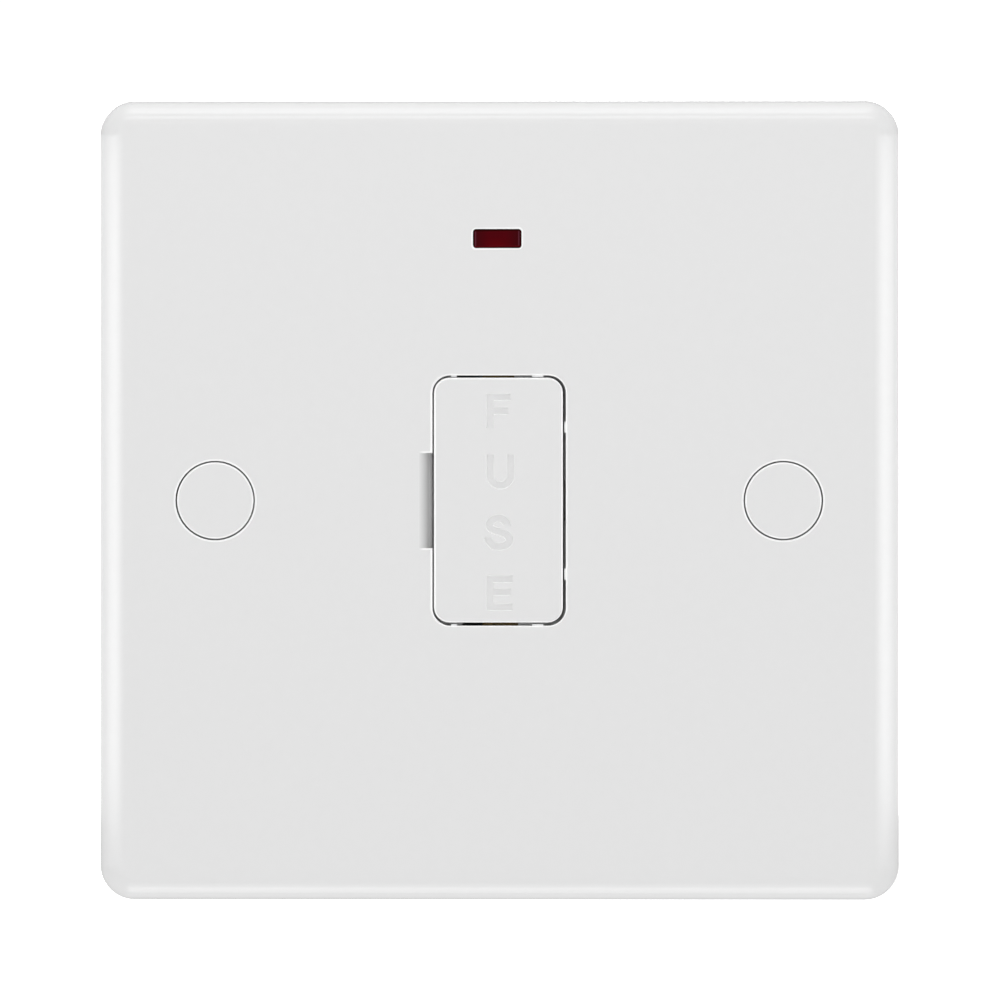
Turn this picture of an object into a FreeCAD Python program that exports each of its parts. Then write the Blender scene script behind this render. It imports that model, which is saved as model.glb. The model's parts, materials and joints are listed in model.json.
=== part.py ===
import FreeCAD, Part
import operator
import os
from math import atan2, cos, radians, sin
from types import SimpleNamespace

import Sketcher

# Fused spur unit: a one-gang white moulded wiring accessory with a pull-out fuse
# carrier, a neon lens above it and two push-in covers over the fixing screws.
# X is to the right as seen from the front, Y runs into the wall, Z is up.
# The origin is midway between the fixing holes, on the wall plane.

# Driving dimensions, in millimetres and degrees
SIZES = {
    # Front plate
    "plate_side": 86.0,
    "plate_depth": 9.0,
    "plate_corner": 3.7,
    "plate_draft": 1.0,
    "face_round": 2.7,
    "side_wall": 2.4,
    "front_wall": 2.5,
    "hollow_corner": 1.6,
    "stiffener_thickness": 1.2,
    "stiffener_height": 2.2,
    "stiffener_inset": 5.6,
    # Fixing holes and their push-in covers
    "fixing_centres": 60.3,
    "fixing_hole": 4.2,
    "fixing_boss_wall": 1.3,
    "head_space": 4.6,
    "head_cone": 1.5,
    "cover_diameter": 8.15,
    "cover_gap": 0.15,
    "cover_thickness": 1.2,
    "cover_skirt": 2.4,
    "cover_skirt_wall": 0.9,
    "cover_bead": 0.1,
    "cover_slot": 1.4,
    # Fuse carrier and its aperture
    "cap_width": 13.7,
    "cap_height": 26.0,
    "cap_corner": 1.65,
    "cap_thickness": 2.4,
    "cap_side_gap": 0.225,
    "cap_end_gap": 0.275,
    "cap_shift_left": 0.08,
    "cap_shift_up": 0.05,
    "edge_break": 0.2,
    "aperture_collar": 1.3,
    "guide_rib_proud": 0.15,
    "guide_rib_narrow": 0.6,
    "guide_rib_wide": 1.2,
    "guide_rib_left": 4.8,
    "guide_rib_right": 4.1,
    "guide_rib_level": 7.8,
    "notch_reach": 1.6,
    "notch_length": 10.1,
    "carrier_wall": 1.2,
    "carrier_inset": 0.15,
    "carrier_wall_height": 23.0,
    "running_gap": 0.2,
    "lug_proud": 1.2,
    "lug_width": 4.0,
    "lug_depth": 1.1,
    "holder_wall": 1.1,
    "holder_length": 12.4,
    "holder_opening": 55.0,
    # Cartridge fuse
    "fuse_level": 5.0,
    "fuse_length": 25.4,
    "fuse_diameter": 6.3,
    "fuse_cap_length": 5.5,
    "fuse_cap_wall": 0.3,
    "crimp_gap": 0.02,
    "fit_gap": 0.08,
    # Fuse clips and links
    "sheet": 0.5,
    "clip_width": 4.8,
    "clip_rise": 1.6,
    "clip_flare_rise": 1.4,
    "clip_flare": 0.8,
    "strip_width": 4.0,
    "tab_height": 1.6,
    # Terminals
    "terminal_width": 7.0,
    "terminal_length": 9.1,
    "terminal_front": 1.5,
    "terminal_front_wall": 0.8,
    "terminal_rear_wall": 2.1,
    "conductor_bore": 4.6,
    "terminal_screw": 3.5,
    "terminal_head": 5.2,
    "terminal_head_height": 1.8,
    "terminal_screw_travel": 4.2,
    "thread_gap": 0.05,
    "driver_slot": 0.9,
    # Rear housing
    "housing_side_gap": 0.4,
    "housing_depth": 16.0,
    "housing_wall": 1.8,
    "housing_floor": 2.0,
    "housing_corner": 2.0,
    "housing_recess": 0.3,
    "inner_wall": 1.2,
    "collar_wall": 1.1,
    "collar_rise": 1.0,
    "collar_gap": 0.5,
    "entry_gap": 0.9,
    "pillar_inset": 4.0,
    "pillar_diameter": 7.6,
    "housing_screw": 2.9,
    "housing_screw_length": 8.2,
    "housing_screw_head": 5.6,
    "housing_screw_head_height": 2.0,
    "housing_screw_seat": 3.0,
    "holding_rib": 1.6,
    "holding_rib_start": 0.9,
    "holding_rib_length": 4.0,
    # Neon indicator
    "lens_width": 5.0,
    "lens_height": 1.87,
    "lens_corner": 0.25,
    "lens_gap": 0.08,
    "lens_left": 0.2,
    "lens_level": 27.8,
    "lens_tilt": 0.9,
    "lens_flange": 0.9,
    "lens_bevel": 0.17,
    "bulb_diameter": 4.0,
    "bulb_length": 9.6,
    "bulb_wall": 0.4,
    "bulb_base": 1.2,
    "lamp_box_wall": 0.9,
    "electrode_diameter": 0.6,
    "electrode_spacing": 1.4,
    "lead_diameter": 1.2,
    "lead_bend": 1.2,
    "resistor_diameter": 2.3,
    "resistor_length": 5.0,
    "resistor_gap": 3.5,
    "lead_drop": 2.4,
    "lead_offset": 2.2,
    "lead_landing": 2.6,
}

ARITHMETIC = {"+": operator.add, "-": operator.sub, "*": operator.mul, "/": operator.truediv}


class Length:
    """A number together with the spreadsheet formula that it comes from."""

    def __init__(self, number, formula):
        self.number = number
        self.formula = formula

    def __add__(self, other):
        return combine(self, "+", other)

    def __radd__(self, other):
        return combine(other, "+", self)

    def __sub__(self, other):
        return combine(self, "-", other)

    def __rsub__(self, other):
        return combine(other, "-", self)

    def __mul__(self, other):
        return combine(self, "*", other)

    def __rmul__(self, other):
        return combine(other, "*", self)

    def __truediv__(self, other):
        return combine(self, "/", other)

    def __neg__(self):
        return combine(0, "-", self)


def chosen_length(word, pick, first, second):
    first = as_length(first)
    second = as_length(second)
    number = pick(first.number, second.number)
    return Length(number, "%s(%s; %s)" % (word, first.formula, second.formula))


def larger(first, second):
    return chosen_length("max", max, first, second)


def smaller(first, second):
    return chosen_length("min", min, first, second)


def as_length(value):
    return value if isinstance(value, Length) else Length(float(value), repr(value))


def combine(first, sign, second):
    first = as_length(first)
    second = as_length(second)
    number = ARITHMETIC[sign](first.number, second.number)
    return Length(number, "(%s %s %s)" % (first.formula, sign, second.formula))


def write_sheet(document):
    """Put the driving dimensions in a spreadsheet, one named cell to a row."""
    sheet = document.addObject("Spreadsheet::Sheet", "Sizes")
    for row, (alias, number) in enumerate(SIZES.items(), 1):
        sheet.set("A%d" % row, alias)
        sheet.set("B%d" % row, str(number))
        sheet.setAlias("B%d" % row, alias)
    document.recompute()
    return SimpleNamespace(**{
        alias: Length(float(sheet.get(alias)), "Sizes." + alias) for alias in SIZES
    })


doc = FreeCAD.newDocument("FusedSpurUnit")
size = write_sheet(doc)

# Places that several pieces share
FACE = -size.plate_depth
HOLLOW_FLOOR = FACE + size.front_wall
HALF_PLATE = size.plate_side / 2
HALF_HOLLOW = HALF_PLATE - size.side_wall
HALF_CENTRES = size.fixing_centres / 2
COVER_RECESS = size.cover_diameter / 2 + size.cover_gap
HEAD_SEAT = FACE + size.head_space
HALF_APERTURE_X = size.cap_width / 2 + size.cap_side_gap
FUSE_PASSAGE = size.fuse_length / 2 + size.running_gap
HALF_APERTURE_Z = larger(size.cap_height / 2 + size.cap_end_gap, FUSE_PASSAGE)
APERTURE_CORNER = size.cap_corner + size.cap_side_gap
HOUSING_FRONT = -size.housing_recess
COLLAR_END = HOUSING_FRONT - size.running_gap
HOUSING_REAR = size.housing_depth
FLOOR_FRONT = HOUSING_REAR - size.housing_floor
CARRIER_REAR = FLOOR_FRONT - size.running_gap
HALF_CARRIER = size.cap_width / 2 - size.carrier_inset
CARRIER_INNER = HALF_CARRIER - size.carrier_wall
LUG_TIP = HALF_CARRIER + size.lug_proud
LUG_SLOT = size.lug_width / 2 + size.running_gap
WELL_END = HALF_APERTURE_Z + size.inner_wall
BARE_FUSE = size.fuse_length / 2 - size.fuse_cap_length
HALF_HOLDER = smaller(size.holder_length / 2, BARE_FUSE - size.fit_gap)
FUSE_RADIUS = size.fuse_diameter / 2
FUSE_FRONT = size.fuse_level - FUSE_RADIUS
BARREL_RADIUS = FUSE_RADIUS - size.fuse_cap_wall - size.crimp_gap
CLIP_INNER = FUSE_RADIUS + size.fit_gap
CLIP_BASE = size.fuse_level + CLIP_INNER
CLIP_REAR = CLIP_BASE + size.sheet
CLIP_LEVEL = size.fuse_length / 2 - size.fuse_cap_length / 2
TERMINAL_INNER_END = WELL_END + size.sheet + size.fit_gap
TERMINAL_OUTER_END = TERMINAL_INNER_END + size.terminal_length
TERMINAL_LEVEL = TERMINAL_INNER_END + size.terminal_length / 2
BORE_DEPTH = size.terminal_front + size.terminal_front_wall + size.conductor_bore / 2
BORE_REAR = BORE_DEPTH + size.conductor_bore / 2
TERMINAL_REAR = BORE_REAR + size.terminal_rear_wall
CHAMBER = size.terminal_width / 2 + size.fit_gap
FIXING_BOSS = COVER_RECESS + size.fixing_boss_wall
HALF_HOUSING_X = HALF_CENTRES - FIXING_BOSS - size.housing_side_gap
HALF_HOUSING_Z = TERMINAL_OUTER_END + size.running_gap + size.housing_wall
PILLAR_X = HALF_HOUSING_X - size.pillar_inset
PILLAR_Z = HALF_HOUSING_Z - size.pillar_inset
TERMINAL_PITCH = PILLAR_X - size.pillar_diameter / 2 - size.running_gap - CHAMBER
COLLAR_BORE = size.terminal_head / 2 + size.collar_gap
ENTRY_RADIUS = size.conductor_bore / 2 + size.entry_gap
SCREW_TIP = BORE_REAR + size.running_gap / 2
SCREW_SHANK = size.terminal_rear_wall + size.terminal_screw_travel
FLANGE_REAR = HOLLOW_FLOOR + size.lens_flange
BULB_RADIUS = size.bulb_diameter / 2
BULB_DEPTH = FLANGE_REAR + size.fit_gap + BULB_RADIUS
LAMP_BOX_Z = BULB_RADIUS + size.fit_gap
LAMP_BOX_X = size.bulb_length / 2 + size.bulb_wall
LAMP_BOX_REAR = BULB_DEPTH + BULB_RADIUS
LEAD_START = size.bulb_length / 2 - size.lens_left + size.running_gap / 2
LEAD_GATE = (size.electrode_spacing + size.lead_diameter) / 2 + size.running_gap

COLUMNS = {"earth": -TERMINAL_PITCH, "live": as_length(0), "neutral": TERMINAL_PITCH}
ROWS = {"out": 1, "in": -1}


# Sketch and feature helpers

def bind(item, path, length):
    item.setExpression(path, as_length(length).formula)


def new_body(name, x=0, y=0, z=0):
    body = doc.addObject("PartDesign::Body", name)
    body.Label = name
    for axis, place in (("x", x), ("y", y), ("z", z)):
        bind(body, "Placement.Base." + axis, place)
    return body


def new_sketch(body, name, role, level=0):
    """A sketch on one of the body's own origin planes, moved along its normal to level."""
    plane = next(item for item in body.Origin.OriginFeatures if item.Role == role)
    sketch = body.newObject("Sketcher::SketchObject", body.Name + "_" + name)
    sketch.AttachmentSupport = [(plane, "")]
    sketch.MapMode = "FlatFace"
    bind(sketch, "AttachmentOffset.Base.z", level)
    return sketch


def front_sketch(body, name, depth=0):
    """A sketch seen from the front, X across and Z up, at the given Y."""
    return new_sketch(body, name, "XZ_Plane", -as_length(depth))


def constrain(sketch, length, kind, *picks):
    """One driving constraint, bound to a length's formula."""
    length = as_length(length)
    index = sketch.addConstraint(Sketcher.Constraint(kind, *picks, length.number))
    sketch.setExpression("Constraints[%d]" % index, length.formula)


def draw_disc(sketch, x, y, radius):
    centre = FreeCAD.Vector(as_length(x).number, as_length(y).number, 0)
    circle = Part.Circle(centre, FreeCAD.Vector(0, 0, 1), as_length(radius).number)
    geometry = sketch.addGeometry(circle, False)
    constrain(sketch, x, "DistanceX", geometry, 3)
    constrain(sketch, y, "DistanceY", geometry, 3)
    constrain(sketch, radius, "Radius", geometry)


def arc_between(start, end, centre, turn):
    radius = (start - centre).Length
    angles = [atan2(point.y - centre.y, point.x - centre.x) for point in (start, end)]
    if turn < 0:
        angles.reverse()
    circle = Part.Circle(centre, FreeCAD.Vector(0, 0, 1), radius)
    return Part.ArcOfCircle(circle, angles[0], angles[1])


def draw_outline(sketch, corners):
    """A closed outline through corners, each an (x, y) pair of lengths.

    A corner written (x, y, centre_x, centre_y, turn) starts an arc about that centre, which
    runs on to the next corner, anticlockwise where turn is 1 and clockwise where it is -1.
    """
    corners = [[as_length(value) for value in corner[:4]] + list(corner[4:]) for corner in corners]
    points = [FreeCAD.Vector(corner[0].number, corner[1].number, 0) for corner in corners]
    first = sketch.GeometryCount
    count = len(corners)
    starts = []
    for index, corner in enumerate(corners):
        following = points[(index + 1) % count]
        if len(corner) == 2:
            sketch.addGeometry(Part.LineSegment(points[index], following), False)
            starts.append(1)
        else:
            centre = FreeCAD.Vector(corner[2].number, corner[3].number, 0)
            sketch.addGeometry(arc_between(points[index], following, centre, corner[4]), False)
            starts.append(1 if corner[4] > 0 else 2)
    for index, corner in enumerate(corners):
        following = (index + 1) % count
        joint = (first + index, 3 - starts[index], first + following, starts[following])
        sketch.addConstraint(Sketcher.Constraint("Coincident", *joint))
        if len(corner) > 2:
            constrain(sketch, corner[2], "DistanceX", first + index, 3)
            constrain(sketch, corner[3], "DistanceY", first + index, 3)
    for index, corner in enumerate(corners):
        before = corners[index - 1]
        free = ""
        if len(before) > 2:
            across = abs(corner[0].number - before[2].number)
            along = abs(corner[1].number - before[3].number)
            free = "x" if across > along else "y"
        if free != "x":
            constrain(sketch, corner[0], "DistanceX", first + index, starts[index])
        if free != "y":
            constrain(sketch, corner[1], "DistanceY", first + index, starts[index])


def draw_box(sketch, left, bottom, right, top):
    draw_outline(sketch, [(left, bottom), (right, bottom), (right, top), (left, top)])


def draw_block(sketch, x, y, half_width, half_height):
    """A box about its own centre."""
    draw_box(sketch, x - half_width, y - half_height, x + half_width, y + half_height)


def add_feature(body, kind, sketch, **settings):
    feature = body.newObject("PartDesign::" + kind, sketch.Name + "_" + kind)
    feature.Profile = sketch
    for name, value in settings.items():
        setattr(feature, name, value)
    return feature


def pad(body, sketch, length, reverse=False, both_ways=False):
    """Add material along the sketch's normal, which is to the front for a front sketch."""
    feature = add_feature(body, "Pad", sketch, Reversed=reverse)
    if both_ways:
        feature.SideType = "Symmetric"
    bind(feature, "Length", length)
    doc.recompute()
    return feature


def pocket(body, sketch, length, reverse=False, both_ways=False):
    """Cut against the sketch's normal, which is to the rear for a front sketch."""
    before = body.Tip.Shape.Volume
    feature = add_feature(body, "Pocket", sketch, Reversed=reverse)
    if both_ways:
        feature.SideType = "Symmetric"
    bind(feature, "Length", length)
    doc.recompute()
    if feature.Shape.Volume > before - 1e-6:
        raise RuntimeError(feature.Name + " cuts nothing")
    return feature


def revolve(body, sketch, axis):
    feature = add_feature(body, "Revolution", sketch, ReferenceAxis=(sketch, [axis]), Angle=360)
    doc.recompute()
    return feature


def finish_edges(body, kind, name, length, chosen):
    """Fillet or Chamfer the edges of the body's last feature that the test picks out."""
    base = body.Tip
    picked = ["Edge%d" % (index + 1) for index, edge in enumerate(base.Shape.Edges) if chosen(edge)]
    if not picked:
        raise RuntimeError("%s of %s picks no edge" % (name, body.Name))
    feature = body.newObject("PartDesign::" + kind, body.Name + "_" + name)
    feature.Base = (base, picked)
    bind(feature, "Radius" if kind == "Fillet" else "Size", length)
    doc.recompute()
    return feature


def near(value, length):
    return abs(value - as_length(length).number) < 1e-3


def runs_along(edge, x, y, z):
    """True for a straight edge along the given direction, within the mould's draft."""
    if len(edge.Vertexes) < 2:
        return False
    way = edge.Vertexes[1].Point - edge.Vertexes[0].Point
    return near(edge.Length, way.Length) and abs(way.dot(FreeCAD.Vector(x, y, z))) > 0.99 * way.Length


def lies_at(edge, **places):
    """True where every end of the edge has the given |x|, y or |z|."""
    for vertex in edge.Vertexes:
        point = vertex.Point
        found = {"x": abs(point.x), "y": point.y, "z": abs(point.z)}
        if not all(near(found[axis], place) for axis, place in places.items()):
            return False
    return True


# Front plate

def make_plate_shell(body):
    outline = front_sketch(body, "outline")
    draw_block(outline, 0, 0, HALF_PLATE, HALF_PLATE)
    blank = pad(body, outline, size.plate_depth)
    bind(blank, "TaperAngle", -size.plate_draft)
    doc.recompute()
    finish_edges(body, "Fillet", "corners", size.plate_corner, lambda edge: runs_along(edge, 0, 1, 0))
    finish_edges(body, "Fillet", "face_round", size.face_round, lambda edge: lies_at(edge, y=FACE))
    hollow = front_sketch(body, "hollow")
    draw_block(hollow, 0, 0, HALF_HOLLOW, HALF_HOLLOW)
    pocket(body, hollow, -HOLLOW_FLOOR, reverse=True)
    finish_edges(
        body, "Fillet", "hollow_corners", size.hollow_corner,
        lambda edge: runs_along(edge, 0, 1, 0) and lies_at(edge, x=HALF_HOLLOW, z=HALF_HOLLOW),
    )


def make_plate_ribs(body):
    """Stiffeners, fixing bosses, housing posts, the carrier's collar and the holding ribs."""
    half_rib = size.stiffener_thickness / 2
    upright = front_sketch(body, "upright_ribs", HOLLOW_FLOOR)
    level = front_sketch(body, "level_ribs", HOLLOW_FLOOR)
    reach = HALF_HOLLOW + size.side_wall / 2
    past_lamp_box = size.lens_level + LAMP_BOX_Z + size.lamp_box_wall + half_rib
    rib_level = larger(HALF_HOLLOW - size.stiffener_inset, past_lamp_box)
    for side in (-1, 1):
        draw_block(upright, side * HALF_CENTRES, 0, half_rib, reach)
        draw_block(level, 0, side * rib_level, reach, half_rib)
    pad(body, upright, size.stiffener_height, reverse=True)
    pad(body, level, size.stiffener_height, reverse=True)

    bosses = front_sketch(body, "fixing_bosses", HOLLOW_FLOOR)
    posts = front_sketch(body, "housing_posts", HOLLOW_FLOOR)
    for side in (-1, 1):
        draw_disc(bosses, side * HALF_CENTRES, 0, FIXING_BOSS)
        for end in (-1, 1):
            draw_disc(posts, side * PILLAR_X, end * PILLAR_Z, size.pillar_diameter / 2)
    pad(body, bosses, -HOLLOW_FLOOR, reverse=True)
    pad(body, posts, HOUSING_FRONT - HOLLOW_FLOOR, reverse=True)

    collar = front_sketch(body, "aperture_collar", HOLLOW_FLOOR)
    collar_x = HALF_APERTURE_X + size.aperture_collar
    collar_z = HALF_APERTURE_Z + size.aperture_collar
    draw_block(collar, 0, 0, collar_x, collar_z)
    pad(body, collar, COLLAR_END - HOLLOW_FLOOR, reverse=True)

    holders = front_sketch(body, "holding_ribs", HOLLOW_FLOOR)
    middle = TERMINAL_INNER_END + size.holding_rib_start + size.holding_rib_length / 2
    for column in COLUMNS.values():
        for end in ROWS.values():
            draw_block(holders, column, end * middle, size.holding_rib / 2, size.holding_rib_length / 2)
    pad(body, holders, size.terminal_front - HOLLOW_FLOOR, reverse=True)


def make_aperture(body):
    opening = front_sketch(body, "aperture", FACE)
    draw_block(opening, 0, 0, HALF_APERTURE_X, HALF_APERTURE_Z)
    pocket(body, opening, size.plate_depth)
    finish_edges(
        body, "Fillet", "aperture_corners", APERTURE_CORNER,
        lambda edge: runs_along(edge, 0, 1, 0) and lies_at(edge, x=HALF_APERTURE_X, z=HALF_APERTURE_Z),
    )
    finish_edges(
        body, "Fillet", "aperture_break", size.edge_break,
        lambda edge: lies_at(edge, y=FACE) and edge.BoundBox.XMax < (HALF_APERTURE_X * 2).number
        and edge.BoundBox.XMin > -(HALF_APERTURE_X * 2).number
        and edge.BoundBox.ZMax < (HALF_APERTURE_Z + 1).number,
    )

    slots = front_sketch(body, "lug_slots", HOLLOW_FLOOR)
    for side in (-1, 1):
        draw_block(slots, side * (HALF_APERTURE_X + size.aperture_collar / 2), 0,
                   size.aperture_collar, LUG_SLOT)
    pocket(body, slots, -HOLLOW_FLOOR)

    ribs = front_sketch(body, "guide_ribs", FACE + size.edge_break)
    sunk = size.aperture_collar / 2
    half_depth = (sunk + size.guide_rib_proud) / 2
    rib_z = HALF_APERTURE_Z - size.guide_rib_proud + half_depth
    rib_x = HALF_APERTURE_X - size.guide_rib_proud + half_depth
    for end in (-1, 1):
        draw_block(ribs, -size.guide_rib_left, end * rib_z, size.guide_rib_narrow / 2, half_depth)
        draw_block(ribs, size.guide_rib_right, end * rib_z, size.guide_rib_wide / 2, half_depth)
        draw_block(ribs, rib_x, end * size.guide_rib_level, half_depth, size.guide_rib_wide / 2)
    pad(body, ribs, COLLAR_END - FACE - size.edge_break, reverse=True)

    notch = new_sketch(body, "driver_notch", "XY_Plane")
    lip = -(HALF_APERTURE_X + size.notch_reach)
    over = size.edge_break
    draw_outline(notch, [
        (lip, FACE - over),
        (-HALF_APERTURE_X + over, FACE - over),
        (-HALF_APERTURE_X + over, FACE + size.notch_reach),
        (-HALF_APERTURE_X, FACE + size.notch_reach, lip, FACE + size.notch_reach, -1),
        (lip, FACE),
    ])
    pocket(body, notch, size.notch_length, both_ways=True)


def make_plate_holes(body):
    """Recesses for the covers, fixing holes, the lens window and the housing's pilot holes."""
    recesses = front_sketch(body, "cover_recesses", FACE)
    holes = front_sketch(body, "fixing_holes", HEAD_SEAT)
    pilots = front_sketch(body, "pilot_holes", HOUSING_FRONT)
    for side in (-1, 1):
        draw_disc(recesses, side * HALF_CENTRES, 0, COVER_RECESS)
        draw_disc(holes, side * HALF_CENTRES, 0, size.fixing_hole / 2)
        for end in (-1, 1):
            draw_disc(pilots, side * PILLAR_X, end * PILLAR_Z, size.housing_screw / 2 + size.thread_gap)
    pocket(body, recesses, size.head_space)
    pocket(body, holes, -HEAD_SEAT)
    finish_edges(
        body, "Chamfer", "head_cones", size.head_cone,
        lambda edge: isinstance(edge.Curve, Part.Circle) and near(edge.Curve.Radius, size.fixing_hole / 2)
        and lies_at(edge, y=HEAD_SEAT),
    )
    reach = size.housing_screw_length - size.housing_screw_seat - size.housing_recess
    pocket(body, pilots, reach + size.running_gap, reverse=True)

    window = front_sketch(body, "lens_window", FACE)
    window_x = size.lens_width / 2 + size.lens_gap
    window_z = size.lens_height / 2 + size.lens_gap
    draw_block(window, -size.lens_left, size.lens_level, window_x, window_z)
    pocket(body, window, size.front_wall)
    finish_edges(
        body, "Fillet", "window_corners", size.lens_corner + size.lens_gap,
        lambda edge: runs_along(edge, 0, 1, 0)
        and edge.BoundBox.YMin < HOLLOW_FLOOR.number - 1
        and abs(edge.Vertexes[0].Point.z - size.lens_level.number) < window_z.number + 0.01
        and abs(edge.Vertexes[0].Point.x + size.lens_left.number) < window_x.number + 0.01,
    )


def make_lamp_box(body):
    walls = front_sketch(body, "lamp_box", HOLLOW_FLOOR)
    wall = size.lamp_box_wall
    draw_block(walls, -size.lens_left, size.lens_level, LAMP_BOX_X + wall, LAMP_BOX_Z + wall)
    draw_block(walls, -size.lens_left, size.lens_level, LAMP_BOX_X, LAMP_BOX_Z)
    pad(body, walls, LAMP_BOX_REAR - HOLLOW_FLOOR, reverse=True)
    gate = front_sketch(body, "lead_gate", HOLLOW_FLOOR + size.stiffener_height / 2)
    draw_block(gate, LAMP_BOX_X + wall / 2 - size.lens_left, size.lens_level, wall, LEAD_GATE)
    pocket(body, gate, -HOLLOW_FLOOR)


def make_front_plate():
    body = new_body("front_plate")
    make_plate_shell(body)
    make_plate_ribs(body)
    make_lamp_box(body)
    make_aperture(body)
    make_plate_holes(body)


# Push-in covers over the fixing screws

def make_screw_cover(name, side):
    body = new_body(name, x=side * HALF_CENTRES)
    radius = size.cover_diameter / 2
    waist = radius - size.cover_bead
    back = FACE + size.cover_thickness
    end = back + size.cover_skirt
    inner = waist - size.cover_skirt_wall
    profile = new_sketch(body, "profile", "XY_Plane")
    draw_outline(profile, [
        (0, FACE), (radius, FACE), (radius, back), (waist, back), (waist, end - size.cover_skirt / 2),
        (radius + size.cover_bead, end - size.cover_skirt / 4), (waist, end),
        (inner, end), (inner, back), (0, back),
    ])
    revolve(body, profile, "V_Axis")
    finish_edges(
        body, "Fillet", "rim", size.edge_break,
        lambda edge: near(edge.BoundBox.YMax, FACE) and near(edge.BoundBox.YMin, FACE),
    )
    slots = front_sketch(body, "finger_slots", back)
    draw_block(slots, 0, 0, radius * 2, size.cover_slot / 2)
    pocket(body, slots, size.cover_skirt)
    cross = front_sketch(body, "cross_slots", back)
    draw_block(cross, 0, 0, size.cover_slot / 2, radius * 2)
    pocket(body, cross, size.cover_skirt)


# Fuse carrier and the cartridge fuse that it holds

def make_carrier_cap(body):
    face = front_sketch(body, "cap", FACE + size.cap_thickness)
    draw_block(face, -size.cap_shift_left, size.cap_shift_up, size.cap_width / 2, size.cap_height / 2)
    pad(body, face, size.cap_thickness)
    finish_edges(body, "Fillet", "cap_corners", size.cap_corner, lambda edge: runs_along(edge, 0, 1, 0))
    finish_edges(body, "Fillet", "cap_break", size.edge_break, lambda edge: lies_at(edge, y=FACE))


def make_carrier_walls(body):
    cap_rear = FACE + size.cap_thickness
    half_height = size.carrier_wall_height / 2
    half_wall = size.carrier_wall / 2
    wall_x = CARRIER_INNER + half_wall
    right = front_sketch(body, "right_wall", cap_rear)
    draw_block(right, wall_x, 0, half_wall, half_height)
    pad(body, right, CARRIER_REAR - cap_rear, reverse=True)
    left = front_sketch(body, "left_skirt", cap_rear)
    draw_block(left, -wall_x, 0, half_wall, half_height)
    pad(body, left, FUSE_FRONT - size.sheet - cap_rear, reverse=True)
    floor = front_sketch(body, "rear_bridge", CARRIER_REAR)
    draw_block(floor, 0, 0, HALF_CARRIER, HALF_HOLDER)
    pad(body, floor, size.carrier_wall)
    tongue = front_sketch(body, "rear_tongue", CARRIER_REAR)
    draw_block(tongue, -wall_x, 0, half_wall, HALF_HOLDER)
    pad(body, tongue, CARRIER_REAR - CLIP_REAR)
    lugs = front_sketch(body, "stop_lugs", CARRIER_REAR)
    draw_block(lugs, 0, 0, LUG_TIP, size.lug_width / 2)
    pad(body, lugs, size.lug_depth)


def make_fuse_holder(body):
    """A spring grip round the middle of the fuse, open to the left, on a rib from each side."""
    inner = BARREL_RADIUS + size.fit_gap
    outer = inner + size.holder_wall
    level = size.fuse_level
    lip_x = -cos(radians(size.holder_opening.number))
    lip_y = sin(radians(size.holder_opening.number))
    grip = new_sketch(body, "holder", "XY_Plane")
    draw_outline(grip, [
        (outer * lip_x, level + outer * lip_y, 0, level, -1),
        (outer * lip_x, level - outer * lip_y),
        (inner * lip_x, level - inner * lip_y, 0, level, 1),
        (inner * lip_x, level + inner * lip_y),
    ])
    pad(body, grip, HALF_HOLDER * 2, both_ways=True)
    half_web = size.carrier_wall / 2
    side_web = new_sketch(body, "side_web", "XY_Plane")
    middle = inner + (CARRIER_INNER - inner) / 2 + half_web
    draw_block(side_web, middle, level, (CARRIER_INNER - inner) / 2 + half_web - size.fit_gap, half_web)
    pad(body, side_web, HALF_HOLDER * 2, both_ways=True)
    rear_web = new_sketch(body, "rear_web", "XY_Plane")
    draw_box(rear_web, -half_web, level + inner + size.fit_gap, half_web, CARRIER_REAR - half_web)
    pad(body, rear_web, HALF_HOLDER * 2, both_ways=True)


def make_fuse_carrier():
    body = new_body("fuse_carrier")
    make_carrier_cap(body)
    make_carrier_walls(body)
    make_fuse_holder(body)


def make_fuse():
    barrel = new_body("fuse_barrel", y=size.fuse_level)
    half = size.fuse_length / 2 - size.fuse_cap_wall
    profile = new_sketch(barrel, "profile", "XZ_Plane")
    draw_box(profile, 0, -half, BARREL_RADIUS, half)
    revolve(barrel, profile, "V_Axis")
    for name, end in (("fuse_cap_upper", 1), ("fuse_cap_lower", -1)):
        cap = new_body(name, y=size.fuse_level)
        tip = end * size.fuse_length / 2
        mouth = end * (size.fuse_length / 2 - size.fuse_cap_length)
        crown = end * half
        profile = new_sketch(cap, "profile", "XZ_Plane")
        bore = BARREL_RADIUS + size.crimp_gap
        draw_outline(profile, [
            (0, crown), (bore, crown), (bore, mouth), (FUSE_RADIUS, mouth), (FUSE_RADIUS, tip), (0, tip),
        ])
        revolve(cap, profile, "V_Axis")
        finish_edges(
            cap, "Fillet", "crown", size.edge_break,
            lambda edge: near(edge.BoundBox.ZMax, tip) and near(edge.BoundBox.ZMin, tip),
        )


# Folded brass: fuse clips and links

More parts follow.
